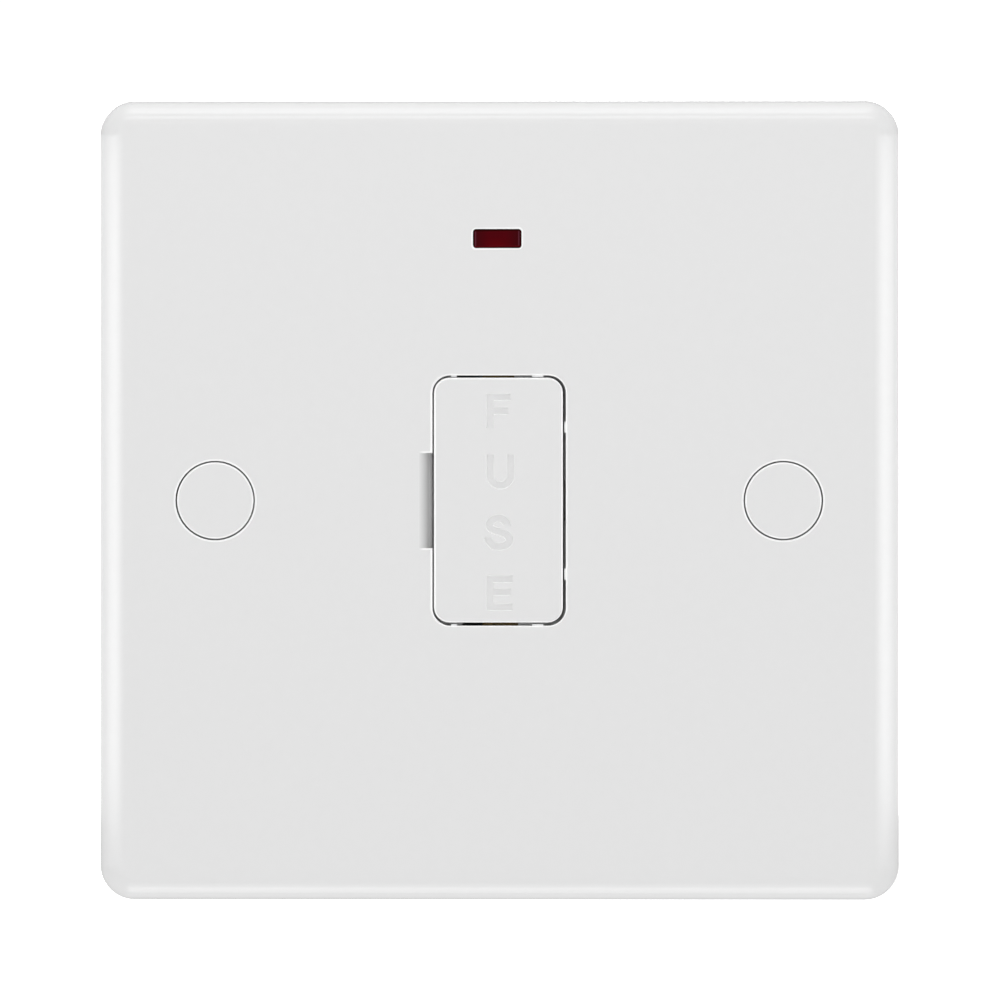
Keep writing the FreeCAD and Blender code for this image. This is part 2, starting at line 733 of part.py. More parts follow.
def make_fuse_clip(name, end):
    body = new_body(name)
    inner = CLIP_INNER
    outer = inner + size.sheet
    knee = size.fuse_level - size.clip_rise
    lip = knee - size.clip_flare_rise
    flare = size.clip_flare
    jaws = new_sketch(body, "jaws", "XY_Plane", end * CLIP_LEVEL)
    draw_outline(jaws, [
        (-outer, CLIP_REAR), (outer, CLIP_REAR), (outer, knee), (outer + flare, lip),
        (inner + flare, lip), (inner, knee), (inner, CLIP_BASE), (-inner, CLIP_BASE),
        (-inner, knee), (-inner - flare, lip), (-outer - flare, lip), (-outer, knee),
    ])
    pad(body, jaws, size.clip_width, both_ways=True)
    finish_edges(
        body, "Fillet", "outer_bends", size.sheet * 3,
        lambda edge: runs_along(edge, 0, 0, 1) and lies_at(edge, x=outer, y=CLIP_REAR),
    )
    finish_edges(
        body, "Fillet", "inner_bends", size.sheet * 2,
        lambda edge: runs_along(edge, 0, 0, 1) and lies_at(edge, x=inner, y=CLIP_BASE),
    )
    root = end * CLIP_LEVEL
    seat = end * TERMINAL_INNER_END
    tab_top = CLIP_REAR - size.tab_height
    tail = new_sketch(body, "tail", "YZ_Plane")
    draw_outline(tail, [
        (CLIP_REAR, root), (CLIP_REAR, seat), (tab_top, seat), (tab_top, seat - end * size.sheet),
        (CLIP_BASE, seat - end * size.sheet), (CLIP_BASE, root),
    ])
    pad(body, tail, size.strip_width, both_ways=True)


def make_link(name, column):
    body = new_body(name, x=column)
    seat = TERMINAL_INNER_END
    bend = seat - size.sheet
    tab_top = CLIP_REAR - size.tab_height
    strip = new_sketch(body, "strip", "YZ_Plane")
    draw_outline(strip, [
        (CLIP_REAR, -seat), (CLIP_REAR, seat), (tab_top, seat), (tab_top, bend),
        (CLIP_BASE, bend), (CLIP_BASE, -bend), (tab_top, -bend), (tab_top, -seat),
    ])
    pad(body, strip, size.strip_width, both_ways=True)


# Terminals and screws

def make_terminal(name, column, end):
    body = new_body(name, x=column, z=end * TERMINAL_LEVEL)
    half_length = size.terminal_length / 2
    block = front_sketch(body, "block", size.terminal_front)
    draw_block(block, 0, 0, size.terminal_width / 2, half_length)
    pad(body, block, TERMINAL_REAR - size.terminal_front, reverse=True)
    finish_edges(body, "Chamfer", "long_edges", size.edge_break * 2,
                 lambda edge: runs_along(edge, 0, 0, 1))
    bore = new_sketch(body, "conductor_bore", "XY_Plane")
    draw_disc(bore, 0, BORE_DEPTH, size.conductor_bore / 2)
    pocket(body, bore, size.terminal_length, both_ways=True)
    tapped = front_sketch(body, "tapped_hole", BORE_DEPTH)
    draw_disc(tapped, 0, 0, size.terminal_screw / 2 + size.thread_gap)
    pocket(body, tapped, TERMINAL_REAR - BORE_DEPTH)


def make_terminal_screw(name, column, end):
    body = new_body(name, x=column, z=end * TERMINAL_LEVEL)
    radius = size.terminal_screw / 2
    head = size.terminal_head / 2
    under_head = SCREW_TIP + SCREW_SHANK
    crown = under_head + size.terminal_head_height
    point = size.edge_break * 2
    profile = new_sketch(body, "profile", "XY_Plane")
    draw_outline(profile, [
        (0, SCREW_TIP), (radius - point, SCREW_TIP), (radius, SCREW_TIP + point), (radius, under_head),
        (head, under_head), (head, crown), (0, crown),
    ])
    revolve(body, profile, "V_Axis")
    finish_edges(
        body, "Fillet", "crown", point,
        lambda edge: near(edge.BoundBox.YMin, crown) and near(edge.BoundBox.YMax, crown),
    )
    slot = front_sketch(body, "driver_slot", crown - size.driver_slot)
    draw_block(slot, 0, 0, size.terminal_head, size.driver_slot / 2)
    pocket(body, slot, size.driver_slot)


def make_housing_screws():
    """Four pan-head screws from the housing's rear into the plate's posts."""
    body = new_body("housing_screws")
    seat = size.housing_screw_seat
    crown = seat + size.housing_screw_head_height
    shanks = front_sketch(body, "shanks", seat)
    heads = front_sketch(body, "heads", seat)
    slots = front_sketch(body, "slots", crown - size.driver_slot)
    crosses = front_sketch(body, "crosses", crown - size.driver_slot)
    arm = size.housing_screw_head / 3
    for side in (-1, 1):
        for end in (-1, 1):
            place = (side * PILLAR_X, end * PILLAR_Z)
            draw_disc(shanks, *place, size.housing_screw / 2)
            draw_disc(heads, *place, size.housing_screw_head / 2)
            draw_block(slots, *place, arm, size.driver_slot / 2)
            draw_block(crosses, *place, size.driver_slot / 2, arm)
    pad(body, shanks, size.housing_screw_length)
    pad(body, heads, size.housing_screw_head_height, reverse=True)
    finish_edges(body, "Fillet", "crowns", size.edge_break * 3, lambda edge: lies_at(edge, y=crown))
    pocket(body, slots, size.driver_slot)
    pocket(body, crosses, size.driver_slot)


# Rear housing

def make_housing_shell(body):
    outline = front_sketch(body, "outline", HOUSING_FRONT)
    draw_block(outline, 0, 0, HALF_HOUSING_X, HALF_HOUSING_Z)
    pad(body, outline, HOUSING_REAR - HOUSING_FRONT, reverse=True)
    finish_edges(body, "Fillet", "corners", size.housing_corner, lambda edge: runs_along(edge, 0, 1, 0))
    finish_edges(body, "Fillet", "rear_round", size.housing_wall / 2,
                 lambda edge: lies_at(edge, y=HOUSING_REAR))
    hollow = front_sketch(body, "hollow", HOUSING_FRONT)
    wall = size.housing_wall
    draw_block(hollow, 0, 0, HALF_HOUSING_X - wall, HALF_HOUSING_Z - wall)
    pocket(body, hollow, FLOOR_FRONT - HOUSING_FRONT)


def make_housing_walls(body):
    """The carrier's well, the partitions, the terminal chambers and the screw pillars."""
    full = FLOOR_FRONT - HOUSING_FRONT
    inner = size.inner_wall
    well = front_sketch(body, "well", FLOOR_FRONT)
    draw_block(well, 0, 0, HALF_APERTURE_X + inner, WELL_END)
    draw_block(well, 0, 0, HALF_APERTURE_X, HALF_APERTURE_Z)
    pad(body, well, full)

    partitions = front_sketch(body, "partitions", FLOOR_FRONT)
    pillars = front_sketch(body, "pillars", FLOOR_FRONT)
    for end in (-1, 1):
        draw_block(partitions, 0, end * (WELL_END - inner / 2),
                   HALF_HOUSING_X - size.housing_wall / 2, inner / 2)
        for side in (-1, 1):
            draw_disc(pillars, side * PILLAR_X, end * PILLAR_Z, size.pillar_diameter / 2)
    pad(body, partitions, full)
    pad(body, pillars, full)

    chambers = front_sketch(body, "chambers", FLOOR_FRONT)
    start = WELL_END - inner / 2
    stop = HALF_HOUSING_Z - size.housing_wall / 2
    for column in COLUMNS.values():
        for side in (-1, 1):
            wall_x = column + side * (CHAMBER + inner / 2)
            for end in ROWS.values():
                draw_block(chambers, wall_x, end * (start + stop) / 2, inner / 2, (stop - start) / 2)
    pad(body, chambers, full)


def make_metal_seats(body):
    """What carries the brass: pedestals under the clips and links, and the screw collars."""
    seats = front_sketch(body, "pedestals", FLOOR_FRONT)
    for end in (-1, 1):
        draw_block(seats, 0, end * CLIP_LEVEL, CLIP_INNER, size.clip_width / 2)
        for name in ("earth", "neutral"):
            draw_block(seats, COLUMNS[name], end * CLIP_LEVEL, size.strip_width / 2, size.inner_wall)
    pad(body, seats, FLOOR_FRONT - CLIP_REAR)

    collars = front_sketch(body, "collars", TERMINAL_REAR)
    bores = front_sketch(body, "collar_bores", TERMINAL_REAR)
    for column in COLUMNS.values():
        for end in ROWS.values():
            draw_disc(collars, column, end * TERMINAL_LEVEL, COLLAR_BORE + size.collar_wall)
            draw_disc(bores, column, end * TERMINAL_LEVEL, COLLAR_BORE)
    length = HOUSING_REAR + size.collar_rise - TERMINAL_REAR
    pad(body, collars, length, reverse=True)
    pocket(body, bores, length)


def make_housing_openings(body):
    """Slots for the strips and lugs, conductor entries and the screws' wells."""
    strips = front_sketch(body, "strip_slots", HOUSING_FRONT)
    for column in COLUMNS.values():
        for end in ROWS.values():
            draw_block(strips, column, end * (WELL_END - size.inner_wall / 2),
                       size.strip_width / 2 + size.running_gap, size.inner_wall)
    pocket(body, strips, CLIP_REAR - HOUSING_FRONT)

    lugs = front_sketch(body, "lug_slots", HOUSING_FRONT)
    for side in (-1, 1):
        draw_block(lugs, side * (HALF_APERTURE_X + size.inner_wall / 2), 0, size.inner_wall, LUG_SLOT)
    pocket(body, lugs, FLOOR_FRONT - HOUSING_FRONT)

    for name, end in ROWS.items():
        entries = new_sketch(body, "entries_" + name, "XY_Plane", end * HALF_HOUSING_Z)
        for column in COLUMNS.values():
            left = column - ENTRY_RADIUS
            right = column + ENTRY_RADIUS
            draw_outline(entries, [
                (left, HOUSING_FRONT - 1), (right, HOUSING_FRONT - 1),
                (right, BORE_DEPTH, column, BORE_DEPTH, 1), (left, BORE_DEPTH),
            ])
        pocket(body, entries, size.housing_wall, reverse=end < 0)

    holes = front_sketch(body, "screw_holes", HOUSING_FRONT)
    wells = front_sketch(body, "screw_wells", size.housing_screw_seat)
    for side in (-1, 1):
        for end in (-1, 1):
            place = (side * PILLAR_X, end * PILLAR_Z)
            draw_disc(holes, *place, size.housing_screw / 2 + size.running_gap)
            draw_disc(wells, *place, size.housing_screw_head / 2 + size.running_gap * 2)
    pocket(body, holes, size.housing_screw_seat - HOUSING_FRONT)
    pocket(body, wells, HOUSING_REAR - size.housing_screw_seat)


def make_rear_housing():
    body = new_body("rear_housing")
    make_housing_shell(body)
    make_housing_walls(body)
    make_metal_seats(body)
    make_housing_openings(body)


# Neon indicator

def make_lens():
    body = new_body("neon_lens", x=-size.lens_left, z=size.lens_level)
    body.Placement = FreeCAD.Placement(
        FreeCAD.Vector(), FreeCAD.Rotation(FreeCAD.Vector(0, -1, 0), size.lens_tilt.number)
    )
    bind(body, "Placement.Rotation.Angle", size.lens_tilt)
    window = front_sketch(body, "window", HOLLOW_FLOOR)
    draw_block(window, 0, 0, size.lens_width / 2, size.lens_height / 2)
    pad(body, window, size.front_wall)
    finish_edges(body, "Fillet", "corners", size.lens_corner, lambda edge: runs_along(edge, 0, 1, 0))
    finish_edges(body, "Chamfer", "bevel", size.lens_bevel, lambda edge: lies_at(edge, y=FACE))
    flange = front_sketch(body, "flange", HOLLOW_FLOOR)
    rim = size.lens_flange
    draw_block(flange, 0, 0, size.lens_width / 2 + rim, size.lens_height / 2 + rim)
    pad(body, flange, size.lens_flange, reverse=True)


def make_bulb():
    body = new_body("neon_bulb", x=-size.lens_left, y=BULB_DEPTH, z=size.lens_level)
    half = size.bulb_length / 2
    dome = BULB_RADIUS - half
    inner = BULB_RADIUS - size.bulb_wall
    base = half - size.bulb_base
    shoulder = size.bulb_wall
    profile = new_sketch(body, "profile", "XY_Plane")
    draw_outline(profile, [
        (-half, 0, dome, 0, -1), (dome, BULB_RADIUS), (half - shoulder, BULB_RADIUS),
        (half, BULB_RADIUS - shoulder), (half, 0), (base, 0), (base, inner),
        (dome, inner, dome, 0, 1), (size.bulb_wall - half, 0),
    ])
    revolve(body, profile, "H_Axis")
    holes = new_sketch(body, "wire_holes", "YZ_Plane", half)
    for side in (-1, 1):
        hole = size.electrode_diameter / 2 + size.thread_gap
        draw_disc(holes, 0, side * size.electrode_spacing / 2, hole)
    pocket(body, holes, size.bulb_base)


def make_electrodes():
    body = new_body("neon_electrodes", y=BULB_DEPTH, z=size.lens_level)
    rods = new_sketch(body, "rods", "YZ_Plane", LEAD_START)
    for side in (-1, 1):
        draw_disc(rods, 0, side * size.electrode_spacing / 2, size.electrode_diameter / 2)
    pad(body, rods, size.bulb_length * 3 / 4, reverse=True)


def make_resistor():
    start = LEAD_START + size.resistor_gap
    body = new_body("neon_resistor", x=start + size.resistor_length / 2, y=BULB_DEPTH,
                    z=size.lens_level + size.electrode_spacing / 2)
    half = size.resistor_length / 2
    full = size.resistor_diameter / 2
    waist = full - size.edge_break
    bulge = size.resistor_length / 4
    profile = new_sketch(body, "profile", "XY_Plane")
    draw_outline(profile, [
        (-half, 0), (-half, waist), (size.edge_break - half, full), (bulge - half, full),
        (bulge + size.edge_break - half, waist), (half - bulge - size.edge_break, waist),
        (half - bulge, full), (half - size.edge_break, full), (half, waist), (half, 0),
    ])
    revolve(body, profile, "H_Axis")


def swept_wire(corners, bend):
    """A round insulated wire along straight runs joined by tangent arcs."""
    points = [FreeCAD.Vector(*[as_length(value).number for value in corner]) for corner in corners]
    edges = []
    at = points[0]
    for before, corner, after in zip(points, points[1:], points[2:]):
        come = (corner - before).normalize()
        leave = (after - corner).normalize()
        start = corner - come * bend
        end = corner + leave * bend
        middle = corner + (leave - come) * (bend * (1 - cos(radians(45))))
        edges += [Part.LineSegment(at, start).toShape(), Part.Arc(start, middle, end).toShape()]
        at = end
    edges.append(Part.LineSegment(at, points[-1]).toShape())
    way = (points[1] - points[0]).normalize()
    ring = Part.Wire([Part.Circle(points[0], way, size.lead_diameter.number / 2).toShape()])
    return Part.Wire(edges).makePipeShell([ring], True, False)


def make_lead(name, routes):
    item = doc.addObject("Part::Feature", name)
    item.Label = name
    pieces = [swept_wire(route, size.lead_bend.number) for route in routes]
    item.Shape = pieces[0] if len(pieces) == 1 else Part.makeCompound(pieces)
    item.Placement = FreeCAD.Placement()


def make_leads():
    upper = size.lens_level + size.electrode_spacing / 2
    lower = size.lens_level - size.electrode_spacing / 2
    landing = TERMINAL_OUTER_END - size.lead_landing
    drop = LEAD_START + size.lead_drop
    make_lead("neon_lead_live", [[
        (LEAD_START, BULB_DEPTH, lower), (drop, BULB_DEPTH, lower), (drop, BULB_DEPTH, landing),
        (size.lead_offset, BULB_DEPTH, landing), (size.lead_offset, size.terminal_front, landing),
    ]])
    resistor_start = LEAD_START + size.resistor_gap
    resistor_end = resistor_start + size.resistor_length
    side = COLUMNS["neutral"] + size.lead_offset
    make_lead("neon_lead_neutral", [
        [(LEAD_START, BULB_DEPTH, upper), (resistor_start, BULB_DEPTH, upper)],
        [(resistor_end, BULB_DEPTH, upper), (side, BULB_DEPTH, upper),
         (side, BULB_DEPTH, landing), (side, size.terminal_front, landing)],
    ])


# Build, check and write every sub-part

def build():
    make_front_plate()
    make_screw_cover("screw_cover_left", -1)
    make_screw_cover("screw_cover_right", 1)
    make_fuse_carrier()
    make_fuse()
    make_fuse_clip("fuse_clip_out", 1)
    make_fuse_clip("fuse_clip_in", -1)
    for column_name, column in COLUMNS.items():
        for row_name, end in ROWS.items():
            make_terminal("%s_%s_terminal" % (column_name, row_name), column, end)
            make_terminal_screw("%s_%s_screw" % (column_name, row_name), column, end)
    for column_name in ("earth", "neutral"):
        make_link(column_name + "_link", COLUMNS[column_name])
    make_rear_housing()
    make_housing_screws()
    make_lens()
    make_bulb()
    make_electrodes()
    make_resistor()
    make_leads()
    doc.recompute()


def check_and_write():
    for item in doc.Objects:
        if "Invalid" in item.State or "Error" in item.State:
            raise RuntimeError("%s did not build: %s" % (item.Label, item.State))
    os.makedirs("parts", exist_ok=True)
    for item in doc.Objects:
        if item.TypeId not in ("PartDesign::Body", "Part::Feature"):
            continue
        if item.Shape.isNull() or not item.Shape.isValid() or not item.Shape.Solids:
            raise RuntimeError(item.Label + " is not a valid solid")
        item.Shape.exportStep("parts/%s.step" % item.Label)
        print(item.Label, len(item.Shape.Solids), round(item.Shape.Volume, 1))


build()
check_and_write()
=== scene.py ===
import json
from math import cos, pi, radians, sin, tan

import bpy
from bpy.props import FloatProperty, FloatVectorProperty, PointerProperty
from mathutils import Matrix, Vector

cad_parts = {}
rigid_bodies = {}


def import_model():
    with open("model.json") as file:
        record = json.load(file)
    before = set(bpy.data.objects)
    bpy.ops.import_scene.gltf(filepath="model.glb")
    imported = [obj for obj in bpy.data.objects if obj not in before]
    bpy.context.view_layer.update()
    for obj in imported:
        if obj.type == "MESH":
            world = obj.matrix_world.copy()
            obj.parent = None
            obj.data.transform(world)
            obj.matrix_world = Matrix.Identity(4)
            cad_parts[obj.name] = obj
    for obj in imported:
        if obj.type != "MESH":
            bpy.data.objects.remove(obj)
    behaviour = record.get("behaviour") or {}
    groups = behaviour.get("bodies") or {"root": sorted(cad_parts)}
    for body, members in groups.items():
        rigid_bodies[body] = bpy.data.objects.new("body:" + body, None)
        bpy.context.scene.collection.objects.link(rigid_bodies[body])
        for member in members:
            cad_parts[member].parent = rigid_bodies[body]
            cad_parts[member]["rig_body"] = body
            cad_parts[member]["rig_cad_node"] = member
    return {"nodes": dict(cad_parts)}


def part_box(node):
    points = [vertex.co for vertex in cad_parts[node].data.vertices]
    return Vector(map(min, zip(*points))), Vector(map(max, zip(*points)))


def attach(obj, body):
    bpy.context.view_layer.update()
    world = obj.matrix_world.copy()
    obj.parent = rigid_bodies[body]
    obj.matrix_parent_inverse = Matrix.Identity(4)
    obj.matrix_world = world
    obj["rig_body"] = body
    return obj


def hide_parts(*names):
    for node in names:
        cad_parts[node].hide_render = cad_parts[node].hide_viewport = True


bl_info = {
    "name": "Fused spur unit",
    "version": (1, 0, 0),
    "blender": (4, 5, 0),
    "location": "View3D > Sidebar > Spur unit",
    "description": "Dresses the fused spur unit and sets up its studio",
    "category": "Object",
}

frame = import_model()
MM = 0.001

FACE_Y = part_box("front_plate")[0].y
COVER_LOW, COVER_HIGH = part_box("screw_cover_right")
COVER_X = (COVER_LOW.x + COVER_HIGH.x) / 2

# The gaps in the face, which place the painted highlight beside each gap. Each line stands midway in its
# gap, as half its width and half its height.
COVER_RING = 4.15 * MM
CAP_GAP = (6.9625 * MM, 13.1375 * MM)
CAP_GAP_CORNER = 1.76 * MM
CAP_SHIFT = (-0.04 * MM, 0.025 * MM)
LENS_GAP = (2.54 * MM, 0.975 * MM)
LENS_GAP_CORNER = 0.29 * MM
LENS_CENTRE = (-0.2 * MM, 27.8 * MM)
LENS_TILT = radians(0.9)
HALF_COVER_GAP = 0.075 * MM
HALF_CAP_GAP = 0.11 * MM
HALF_LENS_GAP = 0.03 * MM
# How far behind the face the painted highlight beside the gaps reaches, and how softly its band fades.
PAINTED_HIGHLIGHT_DEPTH = 0.3 * MM
PAINTED_HIGHLIGHT_FADE = 0.04 * MM

# The opening for the carrier, and the driver notch on its left, from its lip to the opening.
# The notch's colour is painted shade, which darkens over its span and lightens again beside the gap.
APERTURE = (7.075 * MM, 13.275 * MM)
APERTURE_CORNER = 1.875 * MM
NOTCH_LIP = -8.675 * MM
NOTCH_HALF = 5.05 * MM
NOTCH_SHADE_START = NOTCH_LIP + 0.075 * MM
NOTCH_SHADE_SPAN = 1.0 * MM
NOTCH_LIGHT_END = -7.1 * MM
NOTCH_LIGHT_SPAN = 0.4 * MM
NOTCH_LINE_START = NOTCH_LIP + 0.15 * MM
NOTCH_LINE_FADE = 0.5 * MM
NOTCH_ROUGHNESS = 0.65

# The plate's outer shell, which is narrowed to slope its sides. In front of the hollow's floor
# the shell is all solid, so it begins further in.
SOLID_DRAFT = radians(1)
HOLLOW_FLOOR = FACE_Y + 2.5 * MM
SHELL_INSIDE = 40.65 * MM
FRONT_SHELL_INSIDE = 39.5 * MM

# The ledge behind the carrier's cap. Its slots, each from one corner to the other in width and
# height and with the depth that it starts at, let the carrier's lugs pass. The left stop lug
# ends its travel in a pocket in the ledge's back.
LEDGE_BACK = HOLLOW_FLOOR + 1.2 * MM
LEDGE_OPENING = (6.9 * MM, 13.02 * MM)
LEDGE_OPENING_CORNER = APERTURE_CORNER - 0.2 * MM
LAP = 0.02 * MM
LEDGE_SLOTS = (
    ((6.0 * MM, -2.1 * MM), (8.0 * MM, 2.1 * MM), HOLLOW_FLOOR - LAP),
    ((-8.0 * MM, -2.1 * MM), (-6.0 * MM, 2.1 * MM), HOLLOW_FLOOR + 0.15 * MM),
    ((-4.56 * MM, 12.0 * MM), (1.59 * MM, 14.0 * MM), HOLLOW_FLOOR - LAP),
    ((-3.9 * MM, -14.0 * MM), (2.0 * MM, -12.0 * MM), HOLLOW_FLOOR - LAP),
)

# A quarter of a circle as one smooth span has handles this share of its radius long
QUARTER_ARC = 0.5523

TERMINAL_SCREWS = [name for name in frame["nodes"] if name.endswith("_screw")]
TERMINALS = [name for name in frame["nodes"] if name.endswith("_terminal")]


def length(name, text, default):
    return FloatProperty(name=name, description=text, default=default, unit="LENGTH", precision=5)


def colour(name, text, default):
    return FloatVectorProperty(name=name, description=text, default=default, subtype="COLOR",
                               size=3, min=0.0, max=1.0)


def share(name, text, default, high=1.0):
    return FloatProperty(name=name, description=text, default=default, min=0.0, max=high)


class StudioSettings(bpy.types.PropertyGroup):
    camera_distance: length("Camera distance", "From the camera to the plate's front face", 634 * MM)
    camera_right: length("Camera right", "How far right of the unit's middle the camera is", 6.6 * MM)
    camera_up: length("Camera up", "How far above the unit's middle the camera is", 4.6 * MM)
    focal_length: FloatProperty(name="Focal length", description="Of the camera, in millimetres",
                                default=215.1)
    floor_drop: length("Floor drop", "How far the floor lies under the unit's middle", 0.6)
    floor_side: length("Floor side", "Side of the square floor", 40.0)
    floor: colour("Floor", "The pale floor", (0.93, 0.93, 0.93))
    surroundings: colour("Surroundings", "What lights the unit from every side", (0.518, 0.518, 0.518))
    light: share("Light", "Strength of all the soft boxes together", 1.0, high=10.0)


class MouldingSettings(bpy.types.PropertyGroup):
    white: colour("White", "Glossy white moulding of the plate, covers and carrier", (0.80, 0.80, 0.80))
    # The edge colour is a painted highlight: a band lighter than the white beside each gap and along the
    # notch's ends.
    edge: colour("Edge", "Polished edges round the covers, the carrier and the lens", (0.97, 0.97, 0.97))
    # The notch colour is painted shade, strongest where the notch runs deep by the opening; the notch's
    # matt finish is its roughness.
    notch: colour("Notch", "Matt floor of the driver notch, where it is deepest", (0.44, 0.44, 0.44))
    edge_width: length("Edge width", "Width of the polished edge beside a gap", 0.17 * MM)
    draft: FloatProperty(name="Draft", description="Slope of the plate's sides", default=radians(4),
                         subtype="ANGLE")
    housing: colour("Housing", "Satin moulding of the rear housing", (0.74, 0.74, 0.72))
    gloss: share("Roughness", "Roughness of the glossy white moulding", 0.09)
    grain: length("Grain", "Spacing of the moulding's faint mottling", 1.1 * MM)


class LetterSettings(bpy.types.PropertyGroup):
    depth: length("Depth", "How deep the letters are sunk in the carrier's face", 0.16 * MM)
    stem: length("Stem", "Floor of a letter's upright and round strokes", 0.69 * MM)
    bar: length("Bar", "Floor of a letter's level strokes", 0.63 * MM)
    slope: length("Slope", "How much wider a stroke is at the face, on each side", 0.08 * MM)
    height: length("Height", "Height of a letter", 3.6 * MM)
    pitch: length("Pitch", "From one letter down to the next", 6.442 * MM)
    first: length("First letter", "Height of the first letter's middle", 9.507 * MM)
    # The floor colour, darker than the white, is painted shade in the sunk letters; the rim colour,
    # lighter than the white, is a painted highlight on their sloping edges.
    floor: colour("Floor", "Matt floor of the letters", (0.765, 0.765, 0.765))
    rim: colour("Rim", "Sloping edge of the letters", (0.90, 0.90, 0.90))


class IndicatorSettings(bpy.types.PropertyGroup):
    red: colour("Red", "Middle of the lens", (0.070, 0.0002, 0.0026))
    dusk: colour("Dusk", "Ends of the lens", (0.046, 0.0012, 0.0030))
    # The glow is painted light, low in the middle of the lens; the facet and the lower edge line are
    # painted highlights, and the upper edge line is painted shade.
    painted_glow: colour("Glow", "Lower middle of the lens", (0.092, 0.0, 0.0022))
    facet_painted_highlight: colour("Facet", "Lines where the lens's ends begin to slope", (0.105, 0.022, 0.036))
    top_edge_painted_shade: colour("Top line", "The lens's upper rounded edge", (0.034, 0.0, 0.0))
    low_edge_painted_highlight: colour("Low line", "The lens's lower rounded edge", (0.100, 0.0, 0.0024))
    shine: share("Shine", "How strongly the lens's face mirrors the studio", 0.05)
    glass: colour("Glass", "The bulb", (0.95, 0.96, 0.96))
    nickel: colour("Nickel", "The bulb's electrodes", (0.5, 0.5, 0.5))
    lacquer: colour("Lacquer", "The resistor", (0.62, 0.5, 0.3))
    sleeve: colour("Sleeve", "The leads' sleeves", (0.72, 0.72, 0.7))


class MetalSettings(bpy.types.PropertyGroup):
    brass: colour("Brass", "The terminals", (0.72, 0.5, 0.2))
    strip: colour("Strip", "The rolled brass of the fuse clips and links", (0.75, 0.54, 0.24))
    screw: colour("Screw", "Plating of the terminal screws", (0.66, 0.62, 0.54))
    zinc: colour("Zinc", "Plating of the housing screws", (0.56, 0.57, 0.58))
    cap: colour("Cap", "Plating of the fuse's caps", (0.68, 0.68, 0.67))
    ceramic: colour("Ceramic", "The fuse's barrel", (0.82, 0.8, 0.76))


# Node helpers

def new_material(name):
    material = bpy.data.materials.new(name)
    material.use_nodes = True
    return material


def add_node(material, kind, **settings):
    node = material.node_tree.nodes.new(kind)
    for key, value in settings.items():
        setattr(node, key, value)
    return node


def join(material, source, outlet, target, inlet):
    material.node_tree.links.new(source.outputs[outlet], target.inputs[inlet])


def shader_of(material):
    return material.node_tree.nodes["Principled BSDF"]


def grain_noise(material, spacing, detail=3.0, stretch=(1, 1, 1)):
    """A noise on Object coordinates whose features lie about spacing apart."""
    place = add_node(material, "ShaderNodeTexCoord")
    turn = add_node(material, "ShaderNodeMapping")
    turn.inputs["Scale"].default_value = [value / spacing for value in stretch]
    noise = add_node(material, "ShaderNodeTexNoise")
    noise.inputs["Scale"].default_value = 1.0
    noise.inputs["Detail"].default_value = detail
    join(material, place, "Object", turn, "Vector")
    join(material, turn, "Vector", noise, "Vector")
    return noise


def tint_by(material, noise, dark, light):
    ramp = add_node(material, "ShaderNodeValToRGB")
    ramp.color_ramp.elements[0].position = 0.3
    ramp.color_ramp.elements[1].position = 0.7
    ramp.color_ramp.elements[0].color = (*dark, 1)
    ramp.color_ramp.elements[1].color = (*light, 1)
    join(material, noise, "Fac", ramp, "Fac")
    join(material, ramp, "Color", shader_of(material), "Base Color")


def roughen_by(material, noise, low, high):
    spread = add_node(material, "ShaderNodeMapRange")
    spread.inputs["To Min"].default_value = low
    spread.inputs["To Max"].default_value = high
    join(material, noise, "Fac", spread, "Value")
    join(material, spread, "Result", shader_of(material), "Roughness")


def bump_by(material, noise, depth):
    bump = add_node(material, "ShaderNodeBump")
    bump.inputs["Distance"].default_value = depth
    join(material, noise, "Fac", bump, "Height")
    join(material, bump, "Normal", shader_of(material), "Normal")


def number(material, operation, first, second=0.0, clamp=False):
    """The outlet of a Math node fed by numbers or by other nodes' outlets."""
    node = add_node(material, "ShaderNodeMath", operation=operation, use_clamp=clamp)
    for inlet, value in zip(node.inputs, (first, second)):
        if isinstance(value, bpy.types.NodeSocket):
            material.node_tree.links.new(value, inlet)
        else:
            inlet.default_value = value
    return node.outputs["Value"]


def object_axes(material):
    split = add_node(material, "ShaderNodeSeparateXYZ")
    join(material, add_node(material, "ShaderNodeTexCoord"), "Object", split, "Vector")
    return split.outputs["X"], split.outputs["Y"], split.outputs["Z"]


def beyond_outline(material, x, z, half_x, half_z, corner):
    """How far a place on the face lies outside a rounded rectangle about the origin."""
    past_x = number(material, "SUBTRACT", number(material, "ABSOLUTE", x), half_x - corner)
    past_z = number(material, "SUBTRACT", number(material, "ABSOLUTE", z), half_z - corner)
    wide = number(material, "POWER", number(material, "MAXIMUM", past_x, 0.0), 2.0)
    tall = number(material, "POWER", number(material, "MAXIMUM", past_z, 0.0), 2.0)
    outside = number(material, "SQRT", number(material, "ADD", wide, tall))
    inside = number(material, "MINIMUM", number(material, "MAXIMUM", past_x, past_z), 0.0)
    return number(material, "SUBTRACT", number(material, "ADD", outside, inside), corner)


def product(material, first, *others):
    for other in others:
        first = number(material, "MULTIPLY", first, other)
    return first


def rising(material, value, start, span):
    """Nought up to the start, and one from a span past it."""
    return number(material, "DIVIDE", number(material, "SUBTRACT", value, start), span, clamp=True)


def place_on_lens(material, x, z):
    """How far a place on the face lies across from the tilted lens's middle, and above it."""
    across = number(material, "SUBTRACT", x, LENS_CENTRE[0])
    lean = number(material, "MULTIPLY", across, tan(LENS_TILT))
    above = number(material, "SUBTRACT", number(material, "SUBTRACT", z, LENS_CENTRE[1]), lean)
    return across, above


def within(material, distance, reach, softness):
    """One where a distance is under reach, either way, and nought past it."""
    room = number(material, "SUBTRACT", reach + softness, number(material, "ABSOLUTE", distance))
    return number(material, "DIVIDE", room, softness, clamp=True)


